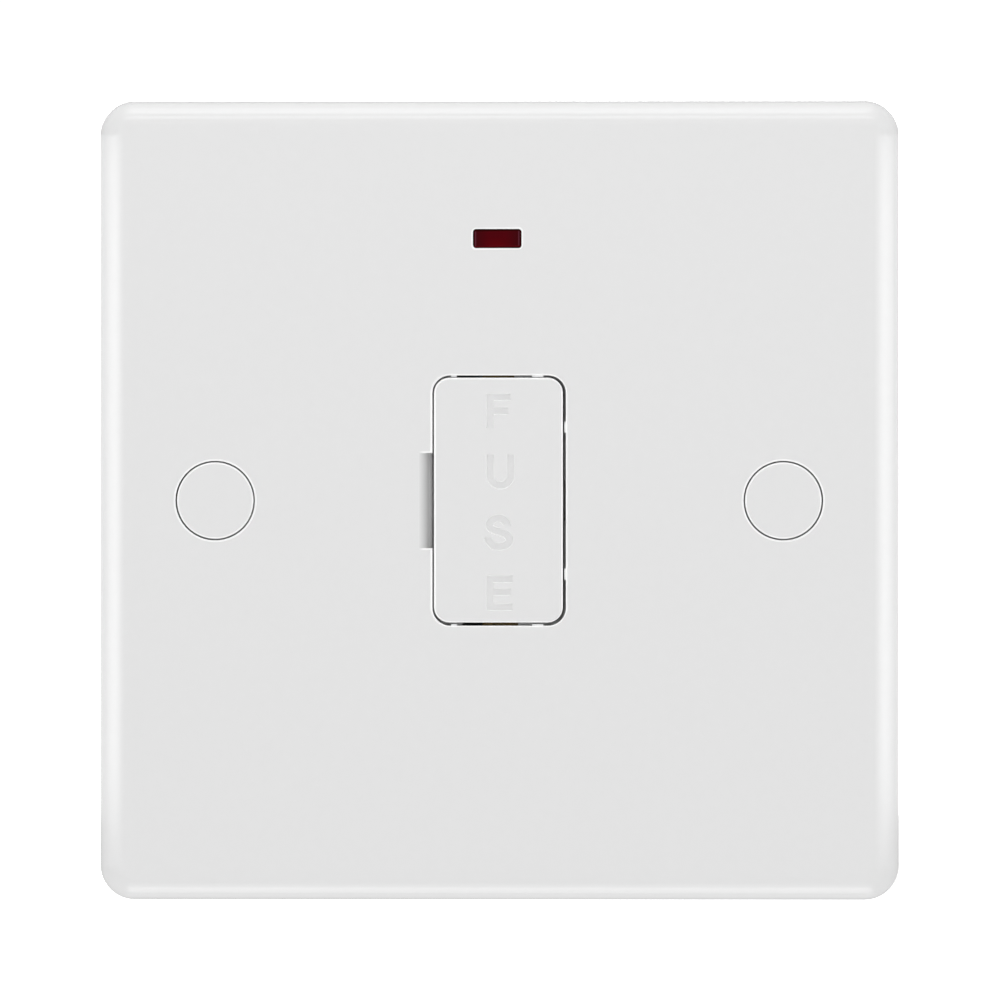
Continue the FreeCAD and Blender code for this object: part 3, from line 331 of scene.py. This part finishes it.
def mix_colour(material, mask, second):
    """Lay a colour over the one that the shader has, by a mask."""
    inlet = shader_of(material).inputs["Base Color"]
    blend = add_node(material, "ShaderNodeMixRGB")
    blend.inputs["Color2"].default_value = (*second, 1)
    material.node_tree.links.new(inlet.links[0].from_socket, blend.inputs["Color1"])
    material.node_tree.links.new(mask, blend.inputs["Fac"])
    join(material, blend, "Color", shader_of(material), "Base Color")


def mix_roughness(material, mask, second):
    inlet = shader_of(material).inputs["Roughness"]
    first = inlet.links[0].from_socket
    change = number(material, "MULTIPLY", mask, number(material, "SUBTRACT", second, first))
    material.node_tree.links.new(number(material, "ADD", first, change), inlet)


def shaded(colour_value, factor):
    return tuple(min(1.0, channel * factor) for channel in colour_value)


def surface(name, base, spread, spacing, roughness, uneven, relief, metallic=0.0,
            stretch=(1, 1, 1), specular=0.5):
    """A material whose colour, roughness and relief vary at the given spacing: the colour by the
    share spread, the roughness by uneven, and the relief is a depth."""
    material = new_material(name)
    shader = shader_of(material)
    shader.inputs["Metallic"].default_value = metallic
    shader.inputs["Specular IOR Level"].default_value = specular
    noise = grain_noise(material, spacing, stretch=stretch)
    tint_by(material, noise, shaded(base, 1 - spread), shaded(base, 1 + spread))
    roughen_by(material, noise, roughness - uneven, roughness + uneven)
    fine = grain_noise(material, spacing / 4, detail=2.0, stretch=stretch)
    bump_by(material, fine, relief)
    return material


def dress(node, material):
    """Give a node of the frame its finish."""
    item = frame["nodes"][node]
    item.data.materials.clear()
    item.data.materials.append(material)


def select_only(item):
    bpy.ops.object.select_all(action="DESELECT")
    item.select_set(True)
    bpy.context.view_layer.objects.active = item


def apply_modifiers(item):
    select_only(item)
    for modifier in list(item.modifiers):
        bpy.ops.object.modifier_apply(modifier=modifier.name)


def merged_copy(node, name):
    """A copy of a node's mesh with its loose triangles joined, to be shaped further."""
    source = frame["nodes"][node]
    item = source.copy()
    item.data = source.data.copy()
    item.name = name
    item.data.name = name
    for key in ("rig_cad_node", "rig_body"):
        if key in item:
            del item[key]
    item.parent = None
    bpy.context.scene.collection.objects.link(item)
    select_only(item)
    bpy.ops.mesh.customdata_custom_splitnormals_clear()
    bpy.ops.object.mode_set(mode="EDIT")
    bpy.ops.mesh.select_all(action="SELECT")
    bpy.ops.mesh.remove_doubles(threshold=1e-6)
    bpy.ops.mesh.dissolve_limited(angle_limit=radians(0.2))
    bpy.ops.object.mode_set(mode="OBJECT")
    return item


# Studio

# The soft boxes stand in strips side by side, so the highlights on the rounded edges
# have soft ends: from the angle off the camera to the power in watts.
STRIP_WIDTH = 0.2632
SIDE_STRIP_HEIGHT = 0.186
UPRIGHT_STRIP_LENGTH = 0.7
SIDE_STRIPS = {
    20: 0.159, 35: 0.442, 50: 0.642, 65: 0.614, 80: 0.485, 95: 0.276,
    110: 0.181, 125: 0.142, 140: 0.106, 155: 0.1, 170: 0.201,
}
UPRIGHT_STRIPS = {
    25: 0.131, 55: 0.166, 70: 1.308, 85: 1.002, 100: 0.306, 115: 0.227, 172: 2.224,
    -55: 0.465, -70: 1.402, -85: 0.977, -100: 0.271, -115: 0.204, -130: 0.057, -172: 0.418,
}
NEAR_STRIP = {"azimuth": 0, "elevation": 48, "distance": 0.3, "width": 0.3, "height": 0.06}
NEAR_STRIP_POWER = 0.104


def add_light(name, azimuth, elevation, distance, width, height, power):
    """A soft box that faces the unit. Azimuth 0 is at the camera and 90 at the right."""
    turn = radians(azimuth)
    rise = radians(elevation)
    away = Vector((sin(turn) * cos(rise), -cos(turn) * cos(rise), sin(rise)))
    bpy.ops.object.light_add(type="AREA", location=away * distance)
    lamp = bpy.context.object
    lamp.name = name
    lamp.rotation_euler = away.to_track_quat("Z", "Y").to_euler()
    lamp.data.shape = "RECTANGLE"
    lamp.data.size = width
    lamp.data.size_y = height
    lamp.data.energy = power


# The background and the floor are this bright, so both are white in the picture
WHITE_OUT = 1.05


def make_world(surroundings):
    """Light from every side, before a white background."""
    world = bpy.data.worlds.new("white_studio")
    bpy.context.scene.world = world
    world.use_nodes = True
    tree = world.node_tree
    tree.nodes.clear()
    output = tree.nodes.new("ShaderNodeOutputWorld")
    chooser = tree.nodes.new("ShaderNodeMixShader")
    rays = tree.nodes.new("ShaderNodeLightPath")
    seen = tree.nodes.new("ShaderNodeBackground")
    lighting = tree.nodes.new("ShaderNodeBackground")
    lighting.inputs["Color"].default_value = (*surroundings, 1)
    seen.inputs["Strength"].default_value = WHITE_OUT
    seen.inputs["Color"].default_value = (1, 1, 1, 1)
    tree.links.new(rays.outputs["Is Camera Ray"], chooser.inputs["Fac"])
    tree.links.new(lighting.outputs[0], chooser.inputs[1])
    tree.links.new(seen.outputs[0], chooser.inputs[2])
    tree.links.new(chooser.outputs[0], output.inputs["Surface"])


class FUSEDSPUR_OT_studio(bpy.types.Operator):
    """Set up the camera, the floor, the lights and the view"""

    bl_idname = "fused_spur.studio"
    bl_label = "Studio"

    def execute(self, context):
        studio = context.scene.fused_spur_studio
        scene = context.scene
        stand = Vector((studio.camera_right, FACE_Y - studio.camera_distance, studio.camera_up))
        bpy.ops.object.camera_add(location=stand, rotation=stand.to_track_quat("Z", "Y").to_euler())
        camera = context.object
        camera.data.lens = studio.focal_length
        camera.data.sensor_width = 36
        camera.data.clip_start = 0.01
        scene.camera = camera
        bpy.ops.mesh.primitive_plane_add(size=studio.floor_side,
                                         location=(0, 0, -studio.floor_drop))
        floor = context.object
        floor.name = "studio_floor"
        bpy.ops.object.transform_apply()
        paint = surface("pale_floor", studio.floor, spread=0.01, spacing=0.3, roughness=0.6,
                        uneven=0.05, relief=0.0)
        shader_of(paint).inputs["Emission Color"].default_value = (1, 1, 1, 1)
        shader_of(paint).inputs["Emission Strength"].default_value = WHITE_OUT
        floor.data.materials.append(paint)
        # The lights below the unit shine up through the floor
        floor.visible_diffuse = False
        floor.visible_glossy = False
        floor.visible_transmission = False
        floor.visible_shadow = False
        make_world(studio.surroundings)
        for angle, power in SIDE_STRIPS.items():
            for side in (-1, 1):
                add_light("side_strip", side * angle, 0, 1.0, STRIP_WIDTH, SIDE_STRIP_HEIGHT,
                          power * studio.light)
        for angle, power in UPRIGHT_STRIPS.items():
            add_light("upright_strip", 0, angle, 1.0, UPRIGHT_STRIP_LENGTH, STRIP_WIDTH,
                      power * studio.light)
        add_light("near_strip", **NEAR_STRIP, power=NEAR_STRIP_POWER * studio.light)
        scene.view_settings.view_transform = "Standard"
        scene.view_settings.look = "None"
        scene.view_settings.exposure = 0
        scene.view_settings.gamma = 1
        return {"FINISHED"}


def paint_edge_highlights_and_notch_shade(material, look):
    """Painted highlight as bright bands beside the gaps in the face and along the notch's ends, and
    painted shade with a matt finish in the driver notch.
    """
    x, y, z = object_axes(material)
    height = number(material, "ABSOLUTE", z)
    cover_x = number(material, "SUBTRACT", number(material, "ABSOLUTE", x), COVER_X)
    cover = beyond_outline(material, cover_x, z, COVER_RING, COVER_RING, COVER_RING)
    cap_x = number(material, "SUBTRACT", x, CAP_SHIFT[0])
    cap_z = number(material, "SUBTRACT", z, CAP_SHIFT[1])
    cap = beyond_outline(material, cap_x, cap_z, *CAP_GAP, CAP_GAP_CORNER)
    lens_x, lens_z = place_on_lens(material, x, z)
    lens = beyond_outline(material, lens_x, lens_z, *LENS_GAP, LENS_GAP_CORNER)
    in_notch = product(material,
                       number(material, "LESS_THAN", x, -APERTURE[0] + 0.1 * MM),
                       number(material, "GREATER_THAN", x, NOTCH_LIP))
    # The painted highlight runs along the notch's ends and beside every gap.
    notch_end = number(material, "SUBTRACT", height, NOTCH_HALF + look.edge_width / 2)
    painted_highlight_band = product(material, within(material, notch_end, look.edge_width / 2, PAINTED_HIGHLIGHT_FADE), in_notch,
                   rising(material, x, NOTCH_LINE_START, NOTCH_LINE_FADE))
    for distance, half_gap in ((cover, HALF_COVER_GAP), (cap, HALF_CAP_GAP), (lens, HALF_LENS_GAP)):
        beside = within(material, distance, look.edge_width + half_gap, PAINTED_HIGHLIGHT_FADE)
        painted_highlight_band = number(material, "MAXIMUM", painted_highlight_band, beside)
    notch = product(material, in_notch,
                    number(material, "GREATER_THAN", y, FACE_Y + 0.005 * MM),
                    number(material, "LESS_THAN", height, NOTCH_HALF + 0.01 * MM))
    # Painted shade in the notch, darker toward the opening and lighter again beside the gap.
    from_gap = number(material, "SUBTRACT", NOTCH_LIGHT_END, x)
    shade = product(material, notch,
                    rising(material, x, NOTCH_SHADE_START, NOTCH_SHADE_SPAN),
                    rising(material, from_gap, 0.0, NOTCH_LIGHT_SPAN))
    mix_colour(material, shade, look.notch)
    # The painted highlight band reaches only a little behind the face.
    near_face = number(material, "LESS_THAN", y, FACE_Y + PAINTED_HIGHLIGHT_DEPTH)
    mix_colour(material, product(material, painted_highlight_band, near_face), look.edge)
    mix_roughness(material, notch, NOTCH_ROUGHNESS)


def smooth_shape(item):
    """Smooth the rounds of a moulding and keep its flats flat."""
    select_only(item)
    bpy.ops.object.shade_smooth_by_angle(angle=radians(28))
    weights = item.modifiers.new("flats", "WEIGHTED_NORMAL")
    weights.keep_sharp = True
    apply_modifiers(item)


def cut_away(item, cutter):
    """Take the cutter's form out of a piece, with the cutter's finish on the cut."""
    cut = item.modifiers.new("cut", "BOOLEAN")
    cut.operation = "DIFFERENCE"
    cut.solver = "EXACT"
    cut.material_mode = "TRANSFER"
    cut.object = cutter
    apply_modifiers(item)
    bpy.data.objects.remove(cutter)
    if not item.data.polygons:
        raise RuntimeError("the cut left nothing of " + item.name)


def add_block(name, low, high):
    """A plain block between two corners."""
    middle = (Vector(low) + Vector(high)) / 2
    bpy.ops.mesh.primitive_cube_add(size=1, location=middle)
    item = bpy.context.object
    item.name = name
    item.scale = Vector(high) - Vector(low)
    bpy.ops.object.transform_apply()
    return item


def round_upright_edges(item, radius):
    """Round a block's four edges that run from front to back."""
    select_only(item)
    bpy.ops.object.mode_set(mode="EDIT")
    bpy.ops.mesh.select_mode(type="EDGE")
    bpy.ops.mesh.select_all(action="DESELECT")
    bpy.ops.object.mode_set(mode="OBJECT")
    for edge in item.data.edges:
        start, end = (item.data.vertices[index].co for index in edge.vertices)
        edge.select = abs((end - start).normalized().y) > 0.9
    bpy.ops.object.mode_set(mode="EDIT")
    bpy.ops.mesh.bevel(offset=radius, segments=10)
    bpy.ops.object.mode_set(mode="OBJECT")


class FUSEDSPUR_OT_mouldings(bpy.types.Operator):
    """Finish the front plate, the screw covers and the rear housing"""

    bl_idname = "fused_spur.mouldings"
    bl_label = "Mouldings"

    def execute(self, context):
        look = context.scene.fused_spur_mouldings
        white = surface("gloss_white_painted_edges_and_notch_shade", look.white, spread=0.004, spacing=look.grain,
                        roughness=look.gloss, uneven=0.02, relief=0.4e-6)
        paint_edge_highlights_and_notch_shade(white, look)
        for node in ("screw_cover_left", "screw_cover_right"):
            dress(node, white)
        self.make_plate(look, white)
        self.make_ledge(white)
        dress("rear_housing", surface("satin_housing_moulding", look.housing, spread=0.012,
                                      spacing=2 * MM, roughness=0.42, uneven=0.05, relief=6e-6))
        return {"FINISHED"}

    def make_plate(self, look, white):
        """The front plate with its sides sloped as the real one's are."""
        plate = merged_copy("front_plate", "sloped_plate")
        plate.data.materials.clear()
        plate.data.materials.append(white)
        half_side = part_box("front_plate")[1].x
        more_slope = tan(look.draft) - tan(SOLID_DRAFT)
        for vertex in plate.data.vertices:
            place = vertex.co
            out = max(abs(place.x), abs(place.z))
            in_front = place.y < HOLLOW_FLOOR - 0.01 * MM
            if out > SHELL_INSIDE or (out > FRONT_SHELL_INSIDE and in_front):
                narrower = 1 + more_slope * place.y / half_side
                place.x *= narrower
                place.z *= narrower
        smooth_shape(plate)
        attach(plate, "unit")
        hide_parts("front_plate")

    def make_ledge(self, white):
        """The narrow ledge behind the carrier's cap, open where the lugs pass."""
        wide, tall = (half + LAP for half in APERTURE)
        ledge = add_block("aperture_ledge", (-wide, HOLLOW_FLOOR, -tall), (wide, LEDGE_BACK, tall))
        round_upright_edges(ledge, APERTURE_CORNER)
        wide, tall = LEDGE_OPENING
        well = add_block("ledge_well", (-wide, HOLLOW_FLOOR - LAP, -tall),
                         (wide, LEDGE_BACK + LAP, tall))
        round_upright_edges(well, LEDGE_OPENING_CORNER)
        cut_away(ledge, well)
        for low, high, start in LEDGE_SLOTS:
            cut_away(ledge, add_block("ledge_slot", (low[0], start, low[1]),
                                      (high[0], LEDGE_BACK + LAP, high[1])))
        ledge.data.materials.clear()
        ledge.data.materials.append(white)
        smooth_shape(ledge)
        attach(ledge, "unit")


class FUSEDSPUR_OT_lettering(bpy.types.Operator):
    """Engrave the word FUSE, one letter under the other, in the carrier's face"""

    bl_idname = "fused_spur.lettering"
    bl_label = "Lettering"

    def execute(self, context):
        letters = context.scene.fused_spur_letters
        carrier = merged_copy("fuse_carrier", "lettered_carrier")
        carrier.data.materials.clear()
        carrier.data.materials.append(bpy.data.materials["gloss_white_painted_edges_and_notch_shade"])
        finishes = (
            surface("letter_rim_painted_highlight", letters.rim, spread=0.01, spacing=0.6 * MM, roughness=0.2,
                    uneven=0.03, relief=0.4e-6),
            surface("letter_floor_matt_painted_shade", letters.floor, spread=0.01, spacing=0.5 * MM,
                    roughness=0.55, uneven=0.05, relief=1e-6),
        )
        for index, letter in enumerate("FUSE"):
            level = letters.first - index * letters.pitch
            for width, line in self.strokes_of(letter, letters):
                cut_away(carrier, self.stroke_cutter(width, line, level, letters, finishes))
        smooth_shape(carrier)
        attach(carrier, "carrier")
        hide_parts("fuse_carrier")
        return {"FINISHED"}

    def strokes_of(self, letter, letters):
        """The strokes of a letter, in millimetres from its middle. Each is a width and the places
        that its middle line passes, with its direction there."""
        stem = letters.stem / MM
        bar = letters.bar / MM
        top = letters.height / MM / 2
        right = (1, 0)
        left = (-1, 0)
        up = (0, 1)
        down = (0, -1)

        def level(end, height):
            return bar, [((-1.2, height), right), ((end, height), right)]

        def upright(edge):
            middle = edge + stem / 2
            return stem, [((middle, -top), up), ((middle, top), up)]

        if letter == "F":
            return [upright(-1.287), level(1.175, top - bar / 2), level(0.93, 0.005)]
        if letter == "E":
            return [upright(-1.309), level(1.398, top - bar / 2), level(1.228, 0.11),
                    level(1.398, bar / 2 - top)]
        if letter == "U":
            middle = 0.135
            radius = 1.077
            turn = radius + stem / 2 - top
            return [(stem, [((middle - radius, top), down), ((middle - radius, turn), down),
                            ((middle, turn - radius), right), ((middle + radius, turn), up),
                            ((middle + radius, top), up)])]
        return [(stem, [((0.84, 0.74), up), ((-0.11, 1.505), left), ((-1.03, 0.78), down),
                        ((-0.01, 0.07), (0.957, -0.29)), ((1.09, -0.78), down),
                        ((-0.01, -1.515), left), ((-1.16, -0.54), up)])]

    def stroke_section(self, width, letters):
        """What a stroke looks like cut across: upright above the face, sloping in below it."""
        half = width * MM / 2
        rim = half + letters.slope
        corners = [(-rim, letters.depth), (rim, letters.depth), (rim, 0),
                   (half, -letters.depth), (-half, -letters.depth), (-rim, 0)]
        section = bpy.data.curves.new("stroke_section", "CURVE")
        outline = section.splines.new("POLY")
        outline.points.add(len(corners) - 1)
        for point, corner in zip(outline.points, corners):
            point.co = (*corner, 0, 1)
        outline.use_cyclic_u = True
        profile = bpy.data.objects.new("stroke_section", section)
        bpy.context.scene.collection.objects.link(profile)
        return profile

    def stroke_cutter(self, width, line, level, letters, finishes):
        """One stroke as a solid that narrows to the letter's floor."""
        profile = self.stroke_section(width, letters)
        path = bpy.data.curves.new("stroke", "CURVE")
        path.dimensions = "2D"
        path.fill_mode = "NONE"
        path.resolution_u = 10
        path.bevel_mode = "OBJECT"
        path.bevel_object = profile
        path.use_fill_caps = True
        spline = path.splines.new("BEZIER")
        spline.bezier_points.add(len(line) - 1)
        places = [Vector(place) * MM for place, direction in line]
        for index, point in enumerate(spline.bezier_points):
            here = places[index]
            along = Vector(line[index][1]) * QUARTER_ARC
            before = (here - places[max(index - 1, 0)]).dot(Vector(line[index][1]))
            after = (places[min(index + 1, len(line) - 1)] - here).dot(Vector(line[index][1]))
            point.co = (*here, 0)
            point.handle_left = (*(here - along * abs(before)), 0)
            point.handle_right = (*(here + along * abs(after)), 0)
        item = bpy.data.objects.new("stroke", path)
        bpy.context.scene.collection.objects.link(item)
        select_only(item)
        bpy.ops.object.convert(target="MESH")
        bpy.data.objects.remove(profile)
        item.rotation_euler = (pi / 2, 0, 0)
        item.location = (0, FACE_Y, level)
        bpy.ops.object.transform_apply()
        bpy.ops.object.mode_set(mode="EDIT")
        bpy.ops.mesh.select_all(action="SELECT")
        bpy.ops.mesh.remove_doubles(threshold=1e-7)
        bpy.ops.mesh.normals_make_consistent(inside=False)
        bpy.ops.object.mode_set(mode="OBJECT")
        item.data.materials.clear()
        for finish in finishes:
            item.data.materials.append(finish)
        # The letters' floors get the painted shade and their sloping walls the painted highlight.
        for face in item.data.polygons:
            face.material_index = 1 if face.normal.y > 0.9 else 0
        return item


class FUSEDSPUR_OT_indicator(bpy.types.Operator):
    """Finish the neon lens, its bulb, electrodes, resistor and leads"""

    bl_idname = "fused_spur.indicator"
    bl_label = "Indicator"

    def execute(self, context):
        look = context.scene.fused_spur_indicator
        lens = surface("red_lens_plastic_painted_light", look.red, spread=0.05, spacing=1.5 * MM, roughness=0.12,
                       uneven=0.03, relief=1e-6, specular=look.shine)
        self.tint_and_paint_light_on_lens(lens, look)
        dress("neon_lens", lens)
        glass = surface("bulb_glass_clear", look.glass, spread=0.01, spacing=2 * MM, roughness=0.04,
                        uneven=0.02, relief=0.2e-6)
        shader_of(glass).inputs["Transmission Weight"].default_value = 1.0
        dress("neon_bulb", glass)
        dress("neon_electrodes", surface("electrode_nickel", look.nickel, spread=0.06,
                                         spacing=0.4 * MM, roughness=0.35, uneven=0.08,
                                         relief=1e-6, metallic=1.0))
        dress("neon_resistor", surface("resistor_lacquer", look.lacquer, spread=0.05,
                                       spacing=0.6 * MM, roughness=0.4, uneven=0.06, relief=2e-6))
        sleeve = surface("lead_sleeve_vinyl", look.sleeve, spread=0.03, spacing=0.8 * MM,
                         roughness=0.45, uneven=0.05, relief=2e-6)
        for node in ("neon_lead_live", "neon_lead_neutral"):
            dress(node, sleeve)
        return {"FINISHED"}

    def tint_and_paint_light_on_lens(self, lens, look):
        """Deepen the red toward the ends, brighten it low in the middle with painted light, and paint
        highlights on the facet lines and the lower rounded edge and shade on the upper one.
        """
        x, y, z = object_axes(lens)
        across, above = place_on_lens(lens, x, z)
        out = number(lens, "ABSOLUTE", across)
        mix_colour(lens, rising(lens, out, 0.9 * MM, 1.5 * MM), look.dusk)
        # Painted light, low in the middle of the lens.
        low = number(lens, "ADD", above, 0.7 * MM)
        low_middle = product(lens, within(lens, out, 0.3 * MM, 1.5 * MM),
                             within(lens, low, 0.1 * MM, 0.8 * MM))
        mix_colour(lens, low_middle, look.painted_glow)
        # Painted highlight along the lines where the ends begin to slope.
        from_facet = number(lens, "SUBTRACT", out, 2.29 * MM)
        between_edges = number(lens, "LESS_THAN", number(lens, "ABSOLUTE", above), 0.8 * MM)
        facet_painted_highlight = product(lens, within(lens, from_facet, 0.03 * MM, 0.05 * MM), between_edges)
        mix_colour(lens, facet_painted_highlight, look.facet_painted_highlight)
        # Painted shade on the upper rounded edge and a painted highlight on the lower one.
        for side, tint in ((1, look.top_edge_painted_shade), (-1, look.low_edge_painted_highlight)):
            from_edge = number(lens, "SUBTRACT", above, side * 0.84 * MM)
            mix_colour(lens, within(lens, from_edge, 0.04 * MM, 0.04 * MM), tint)


class FUSEDSPUR_OT_metalwork(bpy.types.Operator):
    """Finish the terminals, screws, clips, links and the cartridge fuse"""

    bl_idname = "fused_spur.metalwork"
    bl_label = "Metalwork"

    def execute(self, context):
        look = context.scene.fused_spur_metal
        brass = surface("terminal_brass", look.brass, spread=0.06, spacing=0.8 * MM, roughness=0.3,
                        uneven=0.06, relief=2e-6, metallic=1.0, stretch=(1, 1, 0.15))
        strip = surface("clip_brass_strip", look.strip, spread=0.05, spacing=0.7 * MM, roughness=0.26,
                        uneven=0.05, relief=1.5e-6, metallic=1.0, stretch=(1, 1, 0.1))
        steel = surface("terminal_screw_plating", look.screw, spread=0.06, spacing=0.5 * MM,
                        roughness=0.3, uneven=0.07, relief=1.5e-6, metallic=1.0)
        zinc = surface("housing_screw_plating", look.zinc, spread=0.06, spacing=0.5 * MM,
                       roughness=0.32, uneven=0.07, relief=1.5e-6, metallic=1.0)
        plating = surface("fuse_cap_plating", look.cap, spread=0.04, spacing=0.6 * MM,
                          roughness=0.22, uneven=0.05, relief=1e-6, metallic=1.0)
        ceramic = surface("fuse_ceramic", look.ceramic, spread=0.02, spacing=0.5 * MM,
                          roughness=0.38, uneven=0.06, relief=3e-6)
        for material, nodes in (
            (brass, TERMINALS),
            (strip, ("fuse_clip_out", "fuse_clip_in", "earth_link", "neutral_link")),
            (steel, TERMINAL_SCREWS),
            (zinc, ("housing_screws",)),
            (plating, ("fuse_cap_upper", "fuse_cap_lower")),
            (ceramic, ("fuse_barrel",)),
        ):
            for node in nodes:
                dress(node, material)
        return {"FINISHED"}


OPERATORS = (
    FUSEDSPUR_OT_studio,
    FUSEDSPUR_OT_mouldings,
    FUSEDSPUR_OT_lettering,
    FUSEDSPUR_OT_indicator,
    FUSEDSPUR_OT_metalwork,
)
SETTINGS = {
    "fused_spur_studio": StudioSettings,
    "fused_spur_mouldings": MouldingSettings,
    "fused_spur_letters": LetterSettings,
    "fused_spur_indicator": IndicatorSettings,
    "fused_spur_metal": MetalSettings,
}


class FUSEDSPUR_PT_panel(bpy.types.Panel):
    bl_label = "Fused spur unit"
    bl_idname = "FUSEDSPUR_PT_panel"
    bl_space_type = "VIEW_3D"
    bl_region_type = "UI"
    bl_category = "Spur unit"

    def draw(self, context):
        for operator in OPERATORS:
            self.layout.operator(operator.bl_idname)
        for name, group in SETTINGS.items():
            for key in group.__annotations__:
                self.layout.prop(getattr(context.scene, name), key)


def register():
    for name, group in SETTINGS.items():
        bpy.utils.register_class(group)
        setattr(bpy.types.Scene, name, PointerProperty(type=group))
    for item in (*OPERATORS, FUSEDSPUR_PT_panel):
        bpy.utils.register_class(item)


def unregister():
    for item in (FUSEDSPUR_PT_panel, *reversed(OPERATORS)):
        bpy.utils.unregister_class(item)
    for name, group in SETTINGS.items():
        delattr(bpy.types.Scene, name)
        bpy.utils.unregister_class(group)


def main():
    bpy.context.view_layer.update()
    register()
    bpy.ops.fused_spur.studio()
    bpy.ops.fused_spur.mouldings()
    bpy.ops.fused_spur.lettering()
    bpy.ops.fused_spur.indicator()
    bpy.ops.fused_spur.metalwork()


if __name__ == "__main__":
    main()
